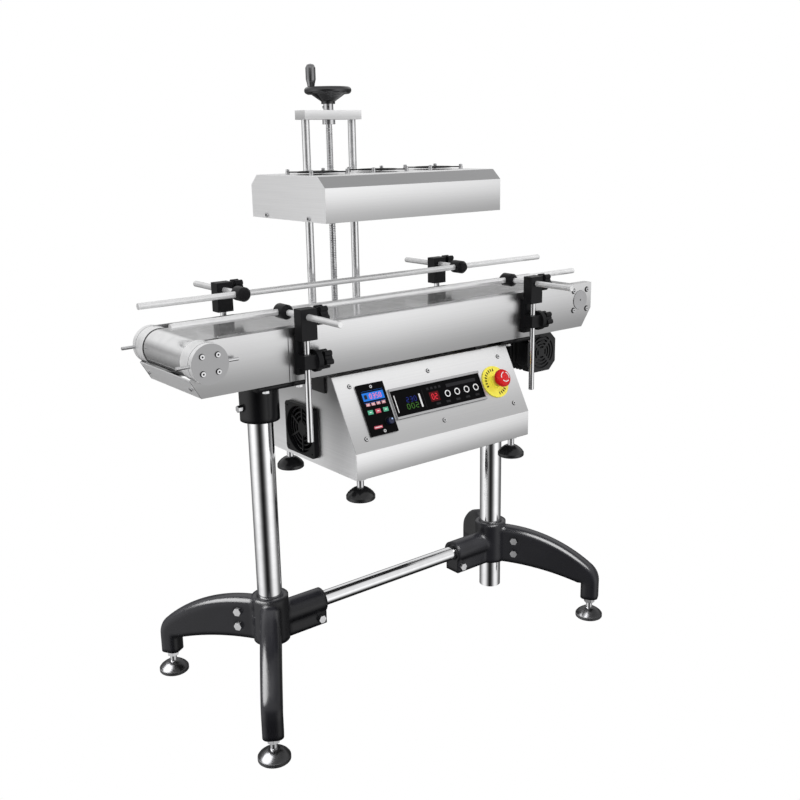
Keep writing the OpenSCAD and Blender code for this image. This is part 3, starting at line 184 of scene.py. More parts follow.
def glowing(name, color, strength):
    """A lit window or digit."""
    look = Look(name, tint(color, 0.6), 0.35, specular=0.1)
    look.set("Emission Color", (*color, 1.0))
    look.set("Emission Strength", strength)
    cloud = look.noise((120, 120, 120))
    look.shade(cloud, tint(color, 0.55), tint(color, 0.65))
    return look.mat


# Stretch of the grain that brushing leaves along X or along Y
ALONG_X = (5, 700, 700)
ALONG_Y = (700, 5, 700)
# Painted shade and light: the rails darken towards their lower edge and towards their left end, and lighten
# a little at the top.
RAIL_STEEL = brushed_steel("rail_stainless", grey(0.80), 0.33, ALONG_X,
                           [("Z", 672, 780, 0.46, 1.05), ("X", -520, -20, 0.76, 1.0)])
SHEET_STEEL = brushed_steel("sheet_stainless", grey(0.62), 0.33, ALONG_X)
TRAY_STEEL = brushed_steel("tray_stainless", grey(0.86), 0.36, ALONG_Y, metallic=0.35)
# Painted shade and light: the box front darkens towards the bottom, its ends darken towards the top, and the
# panel darkens towards its lower edge.
BOX_STEEL = brushed_steel("box_stainless", grey(0.92), 0.36, ALONG_X, [("Z", 472, 532, 0.46, 1.05)])
BOX_SIDE = brushed_steel("box_side_stainless", grey(0.92), 0.36, ALONG_Y, [("Z", 470, 668, 1.06, 0.40)])
PANEL_STEEL = brushed_steel("panel_stainless", grey(0.94), 0.36, ALONG_X, [("Z", 526, 668, 0.58, 1.08)])
# Painted shade and light on the head: its sides darken towards the bottom; the slope is a darker copy of the
# same steel, and the top and the ends are lighter, less metallic copies.
HEAD_STEEL = brushed_steel("head_stainless", grey(0.92), 0.36, ALONG_X, [("Z", 954, 1022, 0.50, 1.02)])
HEAD_SLOPE_SHADED = brushed_steel("head_slope_painted_shade", grey(0.46), 0.36, ALONG_X)
HEAD_TOP_LIT = brushed_steel("head_top_painted_light", grey(0.88), 0.40, ALONG_X, metallic=0.4)
HEAD_END_LIT = brushed_steel("head_end_painted_light", grey(0.93), 0.38, ALONG_Y, metallic=0.45)
TUBE_CHROME = turned_metal("polished_tube", (0.82, 0.82, 0.83), 0.09)
POST_STEEL = turned_metal("lift_post", (0.84, 0.84, 0.85), 0.20, 0.8)
ROD_STEEL = turned_metal("ground_rod", (0.78, 0.78, 0.79), 0.18)
GUIDE_STEEL = turned_metal("bright_guide_rod", grey(0.80), 0.22, 0.40)
# Painted shade: the bridge plate darkens towards its lower edge.
BRIDGE_STEEL = brushed_steel("bridge_stainless", grey(0.92), 0.36, ALONG_X,
                             [("Z", 1144, 1164, 0.62, 1.0)], metallic=0.5)
WHEEL_BLACK = turned_metal("gloss_wheel", (0.075, 0.075, 0.077), 0.18, 0.85)
GRIP_BLACK = turned_metal("gloss_grip", grey(0.24), 0.16, 0.9)
ALLOY = turned_metal("grey_alloy", (0.52, 0.52, 0.53), 0.36)
CAP_FACE = turned_metal("cap_face", grey(0.37), 0.36)
CAP_RIM = turned_metal("cap_rim", grey(0.94), 0.34, 0.35)
SCREW_STEEL = turned_metal("bright_screw", (0.66, 0.66, 0.67), 0.22)
DARK_METAL = turned_metal("dark_metal", (0.06, 0.06, 0.062), 0.26)
# Painted shade: dark discs stand for the shade inside screw sockets and holes and round screw heads.
RECESS_SHADE = moulded("painted_recess_shade", (0.020, 0.020, 0.021), 0.55)
NYLON = moulded("black_nylon", (0.005, 0.005, 0.006), 0.20, 700, 0.02, 0.3, rounding=14.0)
PLASTIC = moulded("black_plastic", (0.009, 0.009, 0.010), 0.36, 900, 0.06, 0.15)
RUBBER = moulded("black_rubber", (0.011, 0.011, 0.012), 0.45)
GLOSS_RUBBER = moulded("gloss_rubber", (0.011, 0.011, 0.012), 0.24, 300, 0.0)
MOTOR_PAINT = moulded("black_motor_paint", (0.010, 0.010, 0.011), 0.38, 900, 0.06, 0.35)
GLOSS_BLACK = moulded("gloss_black", (0.0022, 0.0022, 0.0026), 0.30, 300, 0.0, 0.04)
# Painted shade: the belt darkens from its top run towards its underside.
BELT = turned_metal("glossy_belt", grey(0.84), 0.13, 0.75, [("Z", 702, 768, 0.42, 1.0)])
COPPER = turned_metal("copper_winding", (0.65, 0.33, 0.16), 0.35)
YELLOW = moulded("yellow_plate", (0.95, 0.83, 0.09), 0.35, 300, 0.02, 0.25)
RED = moulded("red_button", (0.62, 0.008, 0.010), 0.24, 300, 0.0, 0.25)
DIAL = moulded("dark_dial", (0.010, 0.014, 0.045), 0.22, 300, 0.0, 0.4)
# Painted highlight on the speed knob.
PAINTED_DIAL_GLINT = moulded("painted_dial_glint", (0.40, 0.58, 0.92), 0.30, 300, 0.02)
WHITE_PRINT = moulded("white_print", (0.80, 0.80, 0.80), 0.45, 300, 0.02)
GREY_PRINT = moulded("grey_print", (0.020, 0.020, 0.022), 0.50, 300, 0.02, 0.1)
BLACK_PRINT = moulded("black_print", (0.020, 0.018, 0.010), 0.50, 300, 0.02, 0.2)
PINK_KEY = moulded("pink_key", (0.62, 0.30, 0.34), 0.40, 300, 0.02)
RED_KEY = moulded("red_key", (0.55, 0.08, 0.12), 0.40, 300, 0.02)
GREEN_KEY = moulded("green_key", (0.08, 0.40, 0.24), 0.40, 300, 0.02)
WINDOW_EDGE = moulded("window_edge", (0.003, 0.003, 0.004), 0.40, 300, 0.0, 0.05)
LCD_BLUE = glowing("blue_window", (0.022, 0.21, 0.80), 0.35)
RED_BACK = glowing("red_back", (0.10, 0.003, 0.006), 0.3)
RED_LIGHT = glowing("red_digits", (0.85, 0.03, 0.05), 0.6)
PALE_RED_LIGHT = glowing("pale_red_digits", (1.0, 0.20, 0.26), 0.6)
BLUE_LIGHT = glowing("blue_digits", (0.014, 0.03, 0.24), 0.2)
GREEN_LIGHT = glowing("green_digits", (0.06, 0.19, 0.03), 0.2)


# Pieces made from the solids

def set_materials(mesh, materials):
    """Gives a mesh its materials. Clearing sends every face to the first one, so it is done only at need."""
    if len(mesh.materials):
        mesh.materials.clear()
    for m in materials:
        mesh.materials.append(m)


def new_piece(name, mesh, body, replaces=()):
    """A finished piece that rides on a body and stands for the solids it replaces."""
    piece = bpy.data.objects.new(name, mesh)
    bpy.context.scene.collection.objects.link(piece)
    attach(piece, body)
    if replaces:
        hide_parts(*replaces)
    return piece


def box(node):
    """Lowest and highest corner of a solid, in millimetres."""
    spots = [v.co for v in CAD[node].data.vertices]
    return [Vector([end(p[i] for p in spots) for i in range(3)]) / MM for end in (min, max)]


def middle(node):
    """Middle of a solid, in millimetres."""
    low, high = box(node)
    return (low + high) / 2


def clean_copy(node):
    """A solid's mesh with its doubles merged and its flat faces joined."""
    bm = bmesh.new()
    bm.from_mesh(CAD[node].data)
    bmesh.ops.remove_doubles(bm, verts=bm.verts, dist=2e-6)
    bmesh.ops.dissolve_limit(bm, angle_limit=math.radians(0.5), use_dissolve_boundaries=False,
                             verts=bm.verts, edges=bm.edges)
    return bm


EDGE_ANGLE = math.radians(38)
SHARP_ANGLE = math.radians(50)


def softened(node, materials, width, pick=None, adjust=None):
    """Replaces a solid by a copy with rounded edges. pick(centre, normal) gives a face's material."""
    bm = clean_copy(node)
    if adjust:
        adjust(bm)
    for face in bm.faces:
        face.material_index = pick(face.calc_center_median(), face.normal) if pick else 0
    mesh = bpy.data.meshes.new(node + "_look")
    bm.to_mesh(mesh)
    bm.free()
    set_materials(mesh, materials)
    for poly in mesh.polygons:
        poly.use_smooth = True
    holder = bpy.data.objects.new(node + "_holder", mesh)
    bpy.context.scene.collection.objects.link(holder)
    bevel = holder.modifiers.new("edge", "BEVEL")
    bevel.width = width * MM
    bevel.segments = 2
    bevel.limit_method = "ANGLE"
    bevel.angle_limit = EDGE_ANGLE
    bevel.use_clamp_overlap = True
    bevel.harden_normals = False
    weighted = holder.modifiers.new("flat", "WEIGHTED_NORMAL")
    weighted.keep_sharp = True
    view = bpy.context.evaluated_depsgraph_get()
    made = bpy.data.meshes.new_from_object(holder.evaluated_get(view))
    bpy.data.objects.remove(holder)
    made.name = node + "_look"
    made.set_sharp_from_angle(angle=SHARP_ANGLE)
    return new_piece(node + "_look", made, BODY_OF[node], [node])


def dress(node, material):
    """Gives a solid its material and leaves its shape."""
    set_materials(CAD[node].data, [material])
    for poly in CAD[node].data.polygons:
        poly.material_index = 0


def by_height(*levels):
    """Material number of a face by the height of its centre, in millimetres."""
    def pick(centre, normal):
        return sum(centre.z > level * MM for level in levels)
    return pick


# The sloped panel: u to the right, v up the slope and n outwards, in millimetres from its lower left corner
PANEL_CORNER = (-198.0, -163.5, 528.6)
PANEL_RISE, PANEL_RUN = 0.876131, 0.482066
PANEL = Matrix(((1, 0, 0, PANEL_CORNER[0] * MM),
                (0, PANEL_RUN, -PANEL_RISE, PANEL_CORNER[1] * MM),
                (0, PANEL_RISE, PANEL_RUN, PANEL_CORNER[2] * MM),
                (0, 0, 0, 1)))
TO_PANEL = PANEL.inverted()
CONTROLLER = (45, 25)
DISPLAY = (116, 46)
STOP = (395, 78)

# Places that the solids give
TAIL = middle("tail_caps")
DRIVE = middle("bearing_plates")
LIFT = middle("lead_screw")
HEAD = middle("head_cover")

# Spacing of the fans, their screws and sleeves, and the pin of the crank, in millimetres
FAN_STEP = 145
FAN_X = [HEAD.x + i * FAN_STEP for i in (-1, 0, 1)]
FAN_HOLE = 41.26
SLEEVE_REACH = 4.2
PIN_REACH = 4.6
PIN_THINNING = 0.05


def at_panel(u, v, n=0.0):
    """The place of a point of the panel, with the panel's slope."""
    return PANEL @ Matrix.Translation((u * MM, v * MM, n * MM))


def end_faces(centre, normal):
    """The second material on the left and right ends."""
    return 1 if abs(normal.x) > 0.7 else 0


def head_faces(centre, normal):
    """Painted light and shade: the ends, the upright sides and the upper faces of the head get lighter and
    darker copies of one steel.
    """
    if abs(normal.x) > 0.7:
        return 1
    if normal.z > 0.95:
        return 3
    return 2 if normal.z > 0.4 else 0


def guard_faces(centre, normal):
    """Bright metal on the four corner sleeves of each fan guard."""
    across = abs(abs(centre.y / MM - HEAD.y) - FAN_HOLE)
    along = min(abs(abs(centre.x / MM - x) - FAN_HOLE) for x in FAN_X)
    return 1 if max(along, across) < SLEEVE_REACH else 0


def slimmer_pin(bm):
    """Thins the crank's pin inside the grip, so that the grip turns freely about its flat sides."""
    axis = middle("crank_grip") * MM
    foot = (box("crank_grip")[0].z + 0.001) * MM
    for vert in bm.verts:
        away = Vector((vert.co.x - axis.x, vert.co.y - axis.y, 0))
        if vert.co.z > foot and away.length < PIN_REACH * MM:
            vert.co -= away * PIN_THINNING


def cap_faces(centre, normal):
    """The second material on the rims of the caps."""
    return 0 if abs(normal.y) > 0.7 else 1


def display_face(centre, normal):
    """Silver on the two trim bars of the display, black elsewhere."""
    return 1 if (TO_PANEL @ centre).z > 3.2 * MM else 0


def controller_face(centre, normal):
    """Blue on the sunk window of the controller, black elsewhere."""
    place = TO_PANEL @ centre / MM
    sunk = 3.8 < place.z < 4.2 and 66 < place.y - CONTROLLER[1] < 90
    return 1 if sunk else 0


for node in ("left_base", "right_base"):
    dress(node, NYLON)
softened("leg_heads", [NYLON], 1.0)
for node in ("leg_tubes", "cross_tube"):
    dress(node, TUBE_CHROME)
dress("guide_posts", POST_STEEL)
for node in ("front_side_rail", "rear_side_rail"):
    softened(node, [RAIL_STEEL], 0.5)
softened("tail_guard_plate", [TRAY_STEEL], 0.5)
softened("chain_guard", [SHEET_STEEL], 0.5)
softened("control_box", [BOX_STEEL, BOX_SIDE], 0.8, end_faces)
softened("control_panel", [PANEL_STEEL], 0.4)
softened("head_cover", [HEAD_STEEL, HEAD_END_LIT, HEAD_SLOPE_SHADED, HEAD_TOP_LIT], 1.2, head_faces)
softened("tail_caps", [CAP_FACE, CAP_RIM], 0.5, cap_faces)
softened("bridge_plate", [BRIDGE_STEEL], 0.8)
for node in ("bearing_plates", "head_base", "lift_carriage", "power_module",
             "slider_bed", "tail_roller", "drive_roller"):
    softened(node, [ALLOY], 0.5)
for node in ("machine_screws", "stand_bolts", "head_screws", "motor_sprocket", "drive_chain"):
    softened(node, [SCREW_STEEL], 0.4)
for node in ("front_uprights", "rear_uprights"):
    softened(node, [ROD_STEEL], 0.8)
for node in ("front_guide_rods", "rear_guide_rods"):
    softened(node, [GUIDE_STEEL], 0.8)
for node in ("front_cross_blocks", "rear_cross_blocks", "front_rail_clamps", "rear_rail_clamps",
             "guide_brackets"):
    softened(node, [PLASTIC], 0.8)
for node in ("mounting_brackets", "gear_motor", "motor_fan_cover"):
    softened(node, [MOTOR_PAINT], 0.6)
for node in ("box_fan_guard", "box_fan_rotor", "fan_frames", "fan_rotor_1", "fan_rotor_2", "fan_rotor_3",
             "estop_plunger"):
    softened(node, [PLASTIC], 0.4)
softened("fan_guards", [PLASTIC, SCREW_STEEL], 0.4, guard_faces)
softened("handwheel", [SCREW_STEEL, WHEEL_BLACK], 0.4, by_height(1172.5), adjust=slimmer_pin)
softened("crank_grip", [GRIP_BLACK], 0.4)
softened("conveyor_belt", [BELT], 0.4)
FEET = softened("levelling_feet", [RUBBER, DARK_METAL, SCREW_STEEL], 0.4, by_height(9, 23.5))
softened("box_feet", [GLOSS_RUBBER, SCREW_STEEL], 0.4, by_height(451.5))
softened("induction_coil", [COPPER], 0.8)
softened("speed_controller", [GLOSS_BLACK, LCD_BLUE], 0.4, controller_face)
softened("display_unit", [GLOSS_BLACK, ALLOY], 0.4, display_face)
softened("estop_plate", [YELLOW], 0.4)
softened("estop_head", [RED], 1.2)
softened("speed_knob", [DIAL], 0.4)


# Prints and marks

class Shapes:
    """Bars, discs and arcs gathered in one mesh, in millimetres, each with its own material."""

    def __init__(self):
        self.bm = bmesh.new()
        self.materials = []

    def paint(self, verts, material):
        if material not in self.materials:
            self.materials.append(material)
        number = self.materials.index(material)
        for face in {f for v in verts for f in v.link_faces}:
            face.material_index = number

    def bar(self, low, high, material):
        low, high = Vector(low), Vector(high)
        size = high - low
        place = Matrix.Translation((low + high) / 2) @ Matrix.Diagonal((*size, 1))
        self.paint(bmesh.ops.create_cube(self.bm, size=1.0, matrix=place)["verts"], material)

    def disc(self, centre, radius, height, material, sides=40):
        place = Matrix.Translation(Vector(centre) + Vector((0, 0, height / 2)))
        made = bmesh.ops.create_cone(self.bm, cap_ends=True, segments=sides, radius1=radius, radius2=radius,
                                     depth=height, matrix=place)
        self.paint(made["verts"], material)

    def arc(self, centre, inner, outer, height, start, turn, material, steps=24):
        """A flat ring or part of one, closed on all sides."""
        whole = turn >= 360
        rows = []
        for i in range(steps if whole else steps + 1):
            a = math.radians(start + turn * i / steps)
            ray = Vector((math.cos(a), math.sin(a), 0))
            rows.append([self.bm.verts.new(Vector(centre) + ray * r + Vector((0, 0, z)))
                         for r, z in ((inner, 0), (outer, 0), (outer, height), (inner, height))])
        pairs = list(zip(rows, rows[1:] + rows[:1])) if whole else list(zip(rows, rows[1:]))
        for one, two in pairs:
            for k in range(4):
                m = (k + 1) % 4
                self.bm.faces.new((one[k], two[k], two[m], one[m]))
        if not whole:
            self.bm.faces.new(rows[0])
            self.bm.faces.new(reversed(rows[-1]))
        self.paint([v for row in rows for v in row], material)

    def mesh(self, name):
        """The shapes as one mesh in metres."""
        self.bm.transform(Matrix.Diagonal((MM, MM, MM, 1)))
        mesh = bpy.data.meshes.new(name)
        self.bm.to_mesh(mesh)
        self.bm.free()
        set_materials(mesh, self.materials)
        return mesh

    def piece(self, name, body, slot, place):
        bmesh.ops.recalc_face_normals(self.bm, faces=self.bm.faces)
        mesh = self.mesh(name)
        mesh.transform(place)
        new_piece(name, mesh, body)


SEGMENTS = {"0": "abcdef", "1": "bc", "2": "abdeg", "3": "abcdg", "4": "bcfg", "5": "acdfg", "6": "acdefg",
            "7": "abc", "8": "abcdefg", "9": "abcdfg"}


def number(shapes, text, u, v, width, height, step, base, material):
    """A seven-segment number with its lower left corner at u, v."""
    t = width * 0.2
    half = height / 2
    spots = {"a": (t, height - t, width - t, height), "b": (width - t, half, width, height - t),
             "c": (width - t, t, width, half), "d": (t, 0, width - t, t), "e": (0, t, t, half),
             "f": (0, half, t, height - t), "g": (t, half - t / 2, width - t, half + t / 2)}
    for i, character in enumerate(text):
        for segment in SEGMENTS[character]:
            a, b, c, d = spots[segment]
            shapes.bar((u + i * step + a, v + b, base), (u + i * step + c, v + d, base + 0.15), material)


def controller_print():
    u, v = CONTROLLER
    top, sunk = 5.0, 4.0
    shapes = Shapes()
    number(shapes, "0350", u + 23, v + 73, 5.4, 10.5, 7.6, sunk, PALE_RED_LIGHT)
    shapes.bar((u + 10.5, v + 74, sunk), (u + 17, v + 82.5, sunk + 0.15), GREY_PRINT)
    for low, high in ((66.6, 70), (86.5, 89.6)):
        shapes.bar((u + 6.2, v + low, sunk), (u + 57.8, v + high, sunk + 0.1), WINDOW_EDGE)
    shapes.bar((u + 10, v + 13, top), (u + 30, v + 18.5, top + 0.2), RED_KEY)
    shapes.bar((u + 12, v + 15, top + 0.2), (u + 28, v + 16.4, top + 0.3), WHITE_PRINT)
    shapes.arc((u + 49, v + 22, top), 8.6, 9.2, 0.15, -40, 260, GREY_PRINT)
    shapes.piece("controller_print", "machine", "black_plastic", PANEL)


def display_print():
    u, v = DISPLAY
    face = 2.0
    shapes = Shapes()
    shapes.bar((u + 8.5, v + 13, face), (u + 10.5, v + 49, face + 0.15), WHITE_PRINT)
    for edge in (0.4, 238.2):
        shapes.bar((u + edge, v + 5, 3.0), (u + edge + 1.4, v + 58, 3.4), ALLOY)
    number(shapes, "230", u + 36, v + 29.5, 7.0, 11.0, 9.6, face, BLUE_LIGHT)
    number(shapes, "002", u + 33, v + 15.5, 8.0, 11.5, 11.0, face, GREEN_LIGHT)
    shapes.bar((u + 69, v + 14.5, face), (u + 73, v + 42.5, face + 0.15), WHITE_PRINT)
    shapes.bar((u + 80, v + 10, face), (u + 80.8, v + 49, face + 0.15), GREY_PRINT)
    shapes.bar((u + 96, v + 20, face), (u + 120, v + 40, face + 0.05), RED_BACK)
    number(shapes, "02", u + 100.4, v + 23.8, 6.6, 12.5, 8.6, face + 0.05, RED_LIGHT)
    shapes.bar((u + 145, v + 43, face), (u + 226, v + 50, face + 0.15), GREY_PRINT)
    shapes.piece("display_print", "machine", "black_plastic", PANEL)


def stop_print():
    shapes = Shapes()
    for start in (95, 215, 335):
        shapes.arc((0, 0, 35.3), 9.2, 11.0, 0.75, start, 88, WHITE_PRINT)
    shapes.piece("stop_arcs", "stop_button", "red_plastic", at_panel(*STOP))


controller_print()
display_print()
stop_print()


# What repeats: node trees with named inputs

def new_tree(name, inputs):
    tree = bpy.data.node_groups.new(name, "GeometryNodeTree")
    for label, kind, value in inputs:
        socket = tree.interface.new_socket(name=label, in_out="INPUT", socket_type="NodeSocket" + kind)
        if value is not None:
            socket.default_value = value
    tree.interface.new_socket(name="Geometry", in_out="OUTPUT", socket_type="NodeSocketGeometry")
    return tree, tree.nodes.new("NodeGroupInput"), tree.nodes.new("NodeGroupOutput")


def finish_tree(tree, given, out, geometry):
    """Realises the instances, sets the material and ends the tree."""
    real = tree.nodes.new("GeometryNodeRealizeInstances")
    paint = tree.nodes.new("GeometryNodeSetMaterial")
    tree.links.new(geometry, real.inputs["Geometry"])
    tree.links.new(real.outputs["Geometry"], paint.inputs["Geometry"])
    tree.links.new(given.outputs["Material"], paint.inputs["Material"])
    tree.links.new(paint.outputs["Geometry"], out.inputs["Geometry"])


def ring_of_bars_tree():
    """Bars laid out along an arc, each pointing outwards."""
    tree, given, out = new_tree("ring_of_bars", [("Count", "Int", 24), ("Radius", "Float", 0.03),
                                                 ("Start", "Float", 0.0), ("Turn", "Float", 6.0),
                                                 ("Size", "Vector", None), ("Material", "Material", None)])
    arc = tree.nodes.new("GeometryNodeCurveArc")
    bar = tree.nodes.new("GeometryNodeMeshCube")
    place = tree.nodes.new("GeometryNodeInputPosition")
    turn = tree.nodes.new("FunctionNodeAlignRotationToVector")
    turn.axis = "X"
    put = tree.nodes.new("GeometryNodeInstanceOnPoints")
    for label, name in (("Count", "Resolution"), ("Radius", "Radius"),
                        ("Start", "Start Angle"), ("Turn", "Sweep Angle")):
        tree.links.new(given.outputs[label], arc.inputs[name])
    tree.links.new(given.outputs["Size"], bar.inputs["Size"])
    tree.links.new(place.outputs["Position"], turn.inputs["Vector"])
    tree.links.new(arc.outputs["Curve"], put.inputs["Points"])
    tree.links.new(bar.outputs["Mesh"], put.inputs["Instance"])
    tree.links.new(turn.outputs["Rotation"], put.inputs["Rotation"])
    finish_tree(tree, given, out, put.outputs["Instances"])
    return tree


def row_of_bars_tree():
    """Bars at even steps along X."""
    tree, given, out = new_tree("row_of_bars", [("Count", "Int", 4), ("Step", "Vector", None),
                                                ("Size", "Vector", None), ("Material", "Material", None)])
    line = tree.nodes.new("GeometryNodeMeshLine")
    bar = tree.nodes.new("GeometryNodeMeshCube")
    put = tree.nodes.new("GeometryNodeInstanceOnPoints")
    tree.links.new(given.outputs["Count"], line.inputs["Count"])
    tree.links.new(given.outputs["Step"], line.inputs["Offset"])
    tree.links.new(given.outputs["Size"], bar.inputs["Size"])
    tree.links.new(line.outputs["Mesh"], put.inputs["Points"])
    tree.links.new(bar.outputs["Mesh"], put.inputs["Instance"])
    finish_tree(tree, given, out, put.outputs["Instances"])
    return tree


def thread_tree():
    """A screw thread about Z: a small round profile along a spiral."""
    tree, given, out = new_tree("screw_thread", [("Turns", "Float", 10.0), ("Radius", "Float", 0.006),
                                                 ("Length", "Float", 0.05), ("Depth", "Float", 0.0008),
                                                 ("Material", "Material", None)])
    spiral = tree.nodes.new("GeometryNodeCurveSpiral")
    spiral.inputs["Resolution"].default_value = 16
    profile = tree.nodes.new("GeometryNodeCurvePrimitiveCircle")
    profile.inputs["Resolution"].default_value = 6
    solid = tree.nodes.new("GeometryNodeCurveToMesh")
    solid.inputs["Fill Caps"].default_value = True
    tree.links.new(given.outputs["Turns"], spiral.inputs["Rotations"])
    tree.links.new(given.outputs["Radius"], spiral.inputs["Start Radius"])
    tree.links.new(given.outputs["Radius"], spiral.inputs["End Radius"])
    tree.links.new(given.outputs["Length"], spiral.inputs["Height"])
    tree.links.new(given.outputs["Depth"], profile.inputs["Radius"])
    tree.links.new(spiral.outputs["Curve"], solid.inputs["Curve"])
    tree.links.new(profile.outputs["Curve"], solid.inputs["Profile Curve"])
    finish_tree(tree, given, out, solid.outputs["Mesh"])
    return tree


def sockets_tree():
    """A flat-sided disc on every given point, turned to the point's facing."""
    tree, given, out = new_tree("screw_sockets", [("Geometry", "Geometry", None), ("Sides", "Int", 6),
                                                  ("Radius", "Float", 0.002), ("Depth", "Float", 0.0004),
                                                  ("Material", "Material", None)])
    disc = tree.nodes.new("GeometryNodeMeshCylinder")
    facing = tree.nodes.new("GeometryNodeInputNamedAttribute")
    facing.data_type = "FLOAT_VECTOR"
    facing.inputs["Name"].default_value = "facing"
    turn = tree.nodes.new("FunctionNodeAlignRotationToVector")
    turn.axis = "Z"
    put = tree.nodes.new("GeometryNodeInstanceOnPoints")
    tree.links.new(given.outputs["Sides"], disc.inputs["Vertices"])
    tree.links.new(given.outputs["Radius"], disc.inputs["Radius"])
    tree.links.new(given.outputs["Depth"], disc.inputs["Depth"])
    tree.links.new(facing.outputs["Attribute"], turn.inputs["Vector"])
    tree.links.new(given.outputs["Geometry"], put.inputs["Points"])
    tree.links.new(disc.outputs["Mesh"], put.inputs["Instance"])
    tree.links.new(turn.outputs["Rotation"], put.inputs["Rotation"])
    finish_tree(tree, given, out, put.outputs["Instances"])
    return tree


RING_OF_BARS = ring_of_bars_tree()
ROW_OF_BARS = row_of_bars_tree()
THREAD = thread_tree()
SOCKETS = sockets_tree()


def grow(tree, settings, mesh=None):
    """The plain mesh a tree makes with these settings."""
    holder = bpy.data.objects.new("holder", mesh or bpy.data.meshes.new("holder"))
    bpy.context.scene.collection.objects.link(holder)
    modifier = holder.modifiers.new("grow", "NODES")
    modifier.node_group = tree
    for item in tree.interface.items_tree:
        if item.in_out == "INPUT" and item.name in settings:
            modifier[item.identifier] = settings[item.name]
    view = bpy.context.evaluated_depsgraph_get()
    made = bpy.data.meshes.new_from_object(holder.evaluated_get(view))
    bpy.data.objects.remove(holder)
    return made


def joined(name, meshes, body, replaces=()):
    """One piece from several meshes, with their materials kept."""
    bm = bmesh.new()
    materials = []
    for mesh in meshes:
        first = len(bm.faces)
        numbers = []
        for m in mesh.materials:
            if m not in materials:
                materials.append(m)
            numbers.append(materials.index(m))
        bm.from_mesh(mesh)
        bm.faces.ensure_lookup_table()
        for face in bm.faces[first:]:
            face.material_index = numbers[face.material_index]
    made = bpy.data.meshes.new(name)
    bm.to_mesh(made)
    bm.free()
    set_materials(made, materials)
    return new_piece(name, made, body, replaces)


def placed(mesh, matrix):
    """A mesh moved to its place."""
    mesh.transform(matrix)
    return mesh


def smooth(mesh):
    """A mesh with soft shading and its real edges kept sharp."""
    for poly in mesh.polygons:
        poly.use_smooth = True
    mesh.set_sharp_from_angle(angle=SHARP_ANGLE)
    return mesh


def row_of(count, step, size, material):
    """Bars in a row to the right, a step apart, in millimetres."""
    return grow(ROW_OF_BARS, {"Count": count, "Step": (step * MM, 0, 0), "Size": [v * MM for v in size],
                              "Material": material})


def arc_of_bars(count, radius, start, turn, size, material):
    """Bars along an arc, or all round when turn is 360 degrees. Lengths are in millimetres."""
    sweep = turn * (count - 1) / count if turn == 360 else turn
    return grow(RING_OF_BARS, {"Count": count, "Radius": radius * MM, "Start": math.radians(start),
                               "Turn": math.radians(sweep), "Size": [v * MM for v in size],
                               "Material": material})


def controller_keys():
    """Two rows of keys on the speed controller, each with a white mark."""
    u, v = CONTROLLER
    key, low_key = (8.8, 5.8, 0.6), (12, 8.5, 0.6)
    dot, mark = (4, 1.2, 0.2), (5, 1.4, 0.2)
    upper_v, lower_v = v + 62.3, v + 47
    keys = [placed(row_of(4, 12.5, key, PINK_KEY), at_panel(u + 13, upper_v, 5.1)),
            placed(row_of(2, 37, low_key, GREEN_KEY), at_panel(u + 13, lower_v, 5.1)),
            placed(row_of(1, 10, low_key, RED_KEY), at_panel(u + 31.5, lower_v, 5.1)),
            placed(row_of(4, 12.5, dot, WHITE_PRINT), at_panel(u + 13, upper_v, 5.45)),
            placed(row_of(3, 18.5, mark, WHITE_PRINT), at_panel(u + 13, lower_v, 5.45))]
    joined("controller_keys", keys, "machine")


def display_marks():
    """Grey fields and four white rings on the display unit."""
    u, v = DISPLAY
    below = row_of(5, 26.8, (11, 4.5, 0.3), GREY_PRINT)
    above = row_of(4, 10.5, (6, 5, 0.3), GREY_PRINT)
    joined("display_legends", [placed(below, at_panel(u + 112, v + 14, 2.1)),
                               placed(above, at_panel(u + 96, v + 48, 2.1))], "machine")
    rings = []
    for i in range(4):
        ring = arc_of_bars(28, 6.2, 0, 360, (2.1, 1.5, 0.4), WHITE_PRINT)
        rings.append(placed(ring, at_panel(u + 143 + i * 26, v + 30, 2.15)))
    joined("display_rings", rings, "machine")


def stop_marks():
    """Black bars in two arcs on the yellow plate of the stop button."""
    upper = arc_of_bars(9, 26.2, 84, 112, (6, 2.6, 0.3), BLACK_PRINT)
    lower = arc_of_bars(4, 26.2, 272, 42, (6, 2.8, 0.3), BLACK_PRINT)
    arcs = [placed(arc, at_panel(*STOP, 2.6)) for arc in (upper, lower)]
    joined("stop_marks", arcs, "machine")


def painted_dial_glint():
    """A painted highlight: a pale dot on the speed knob where its gloss catches the light."""
    u, v = CONTROLLER
    top = max((TO_PANEL @ vert.co).z for vert in CAD["speed_knob"].data.vertices) / MM
    dot = Shapes()
    dot.disc((u + 51.6, v + 24.8, top - 0.05), 1.8, 0.25, PAINTED_DIAL_GLINT, 20)
    dot.piece("painted_dial_glint", "speed_dial", "dial_plastic", PANEL)


def spot(x, y, z, way):
    """A place, in millimetres, and the way it faces."""
    return Vector((x * MM, y * MM, z * MM)), Vector(way)


def panel_spot(u, v, n):
    """A place on the panel, facing out of it."""
    return at_panel(u, v, n).translation, PANEL.to_3x3() @ Vector((0, 0, 1))


def sunk(spots, depth):
    """The same spots set back by a depth, in millimetres."""
    return [(place - way * depth * MM, way) for place, way in spots]


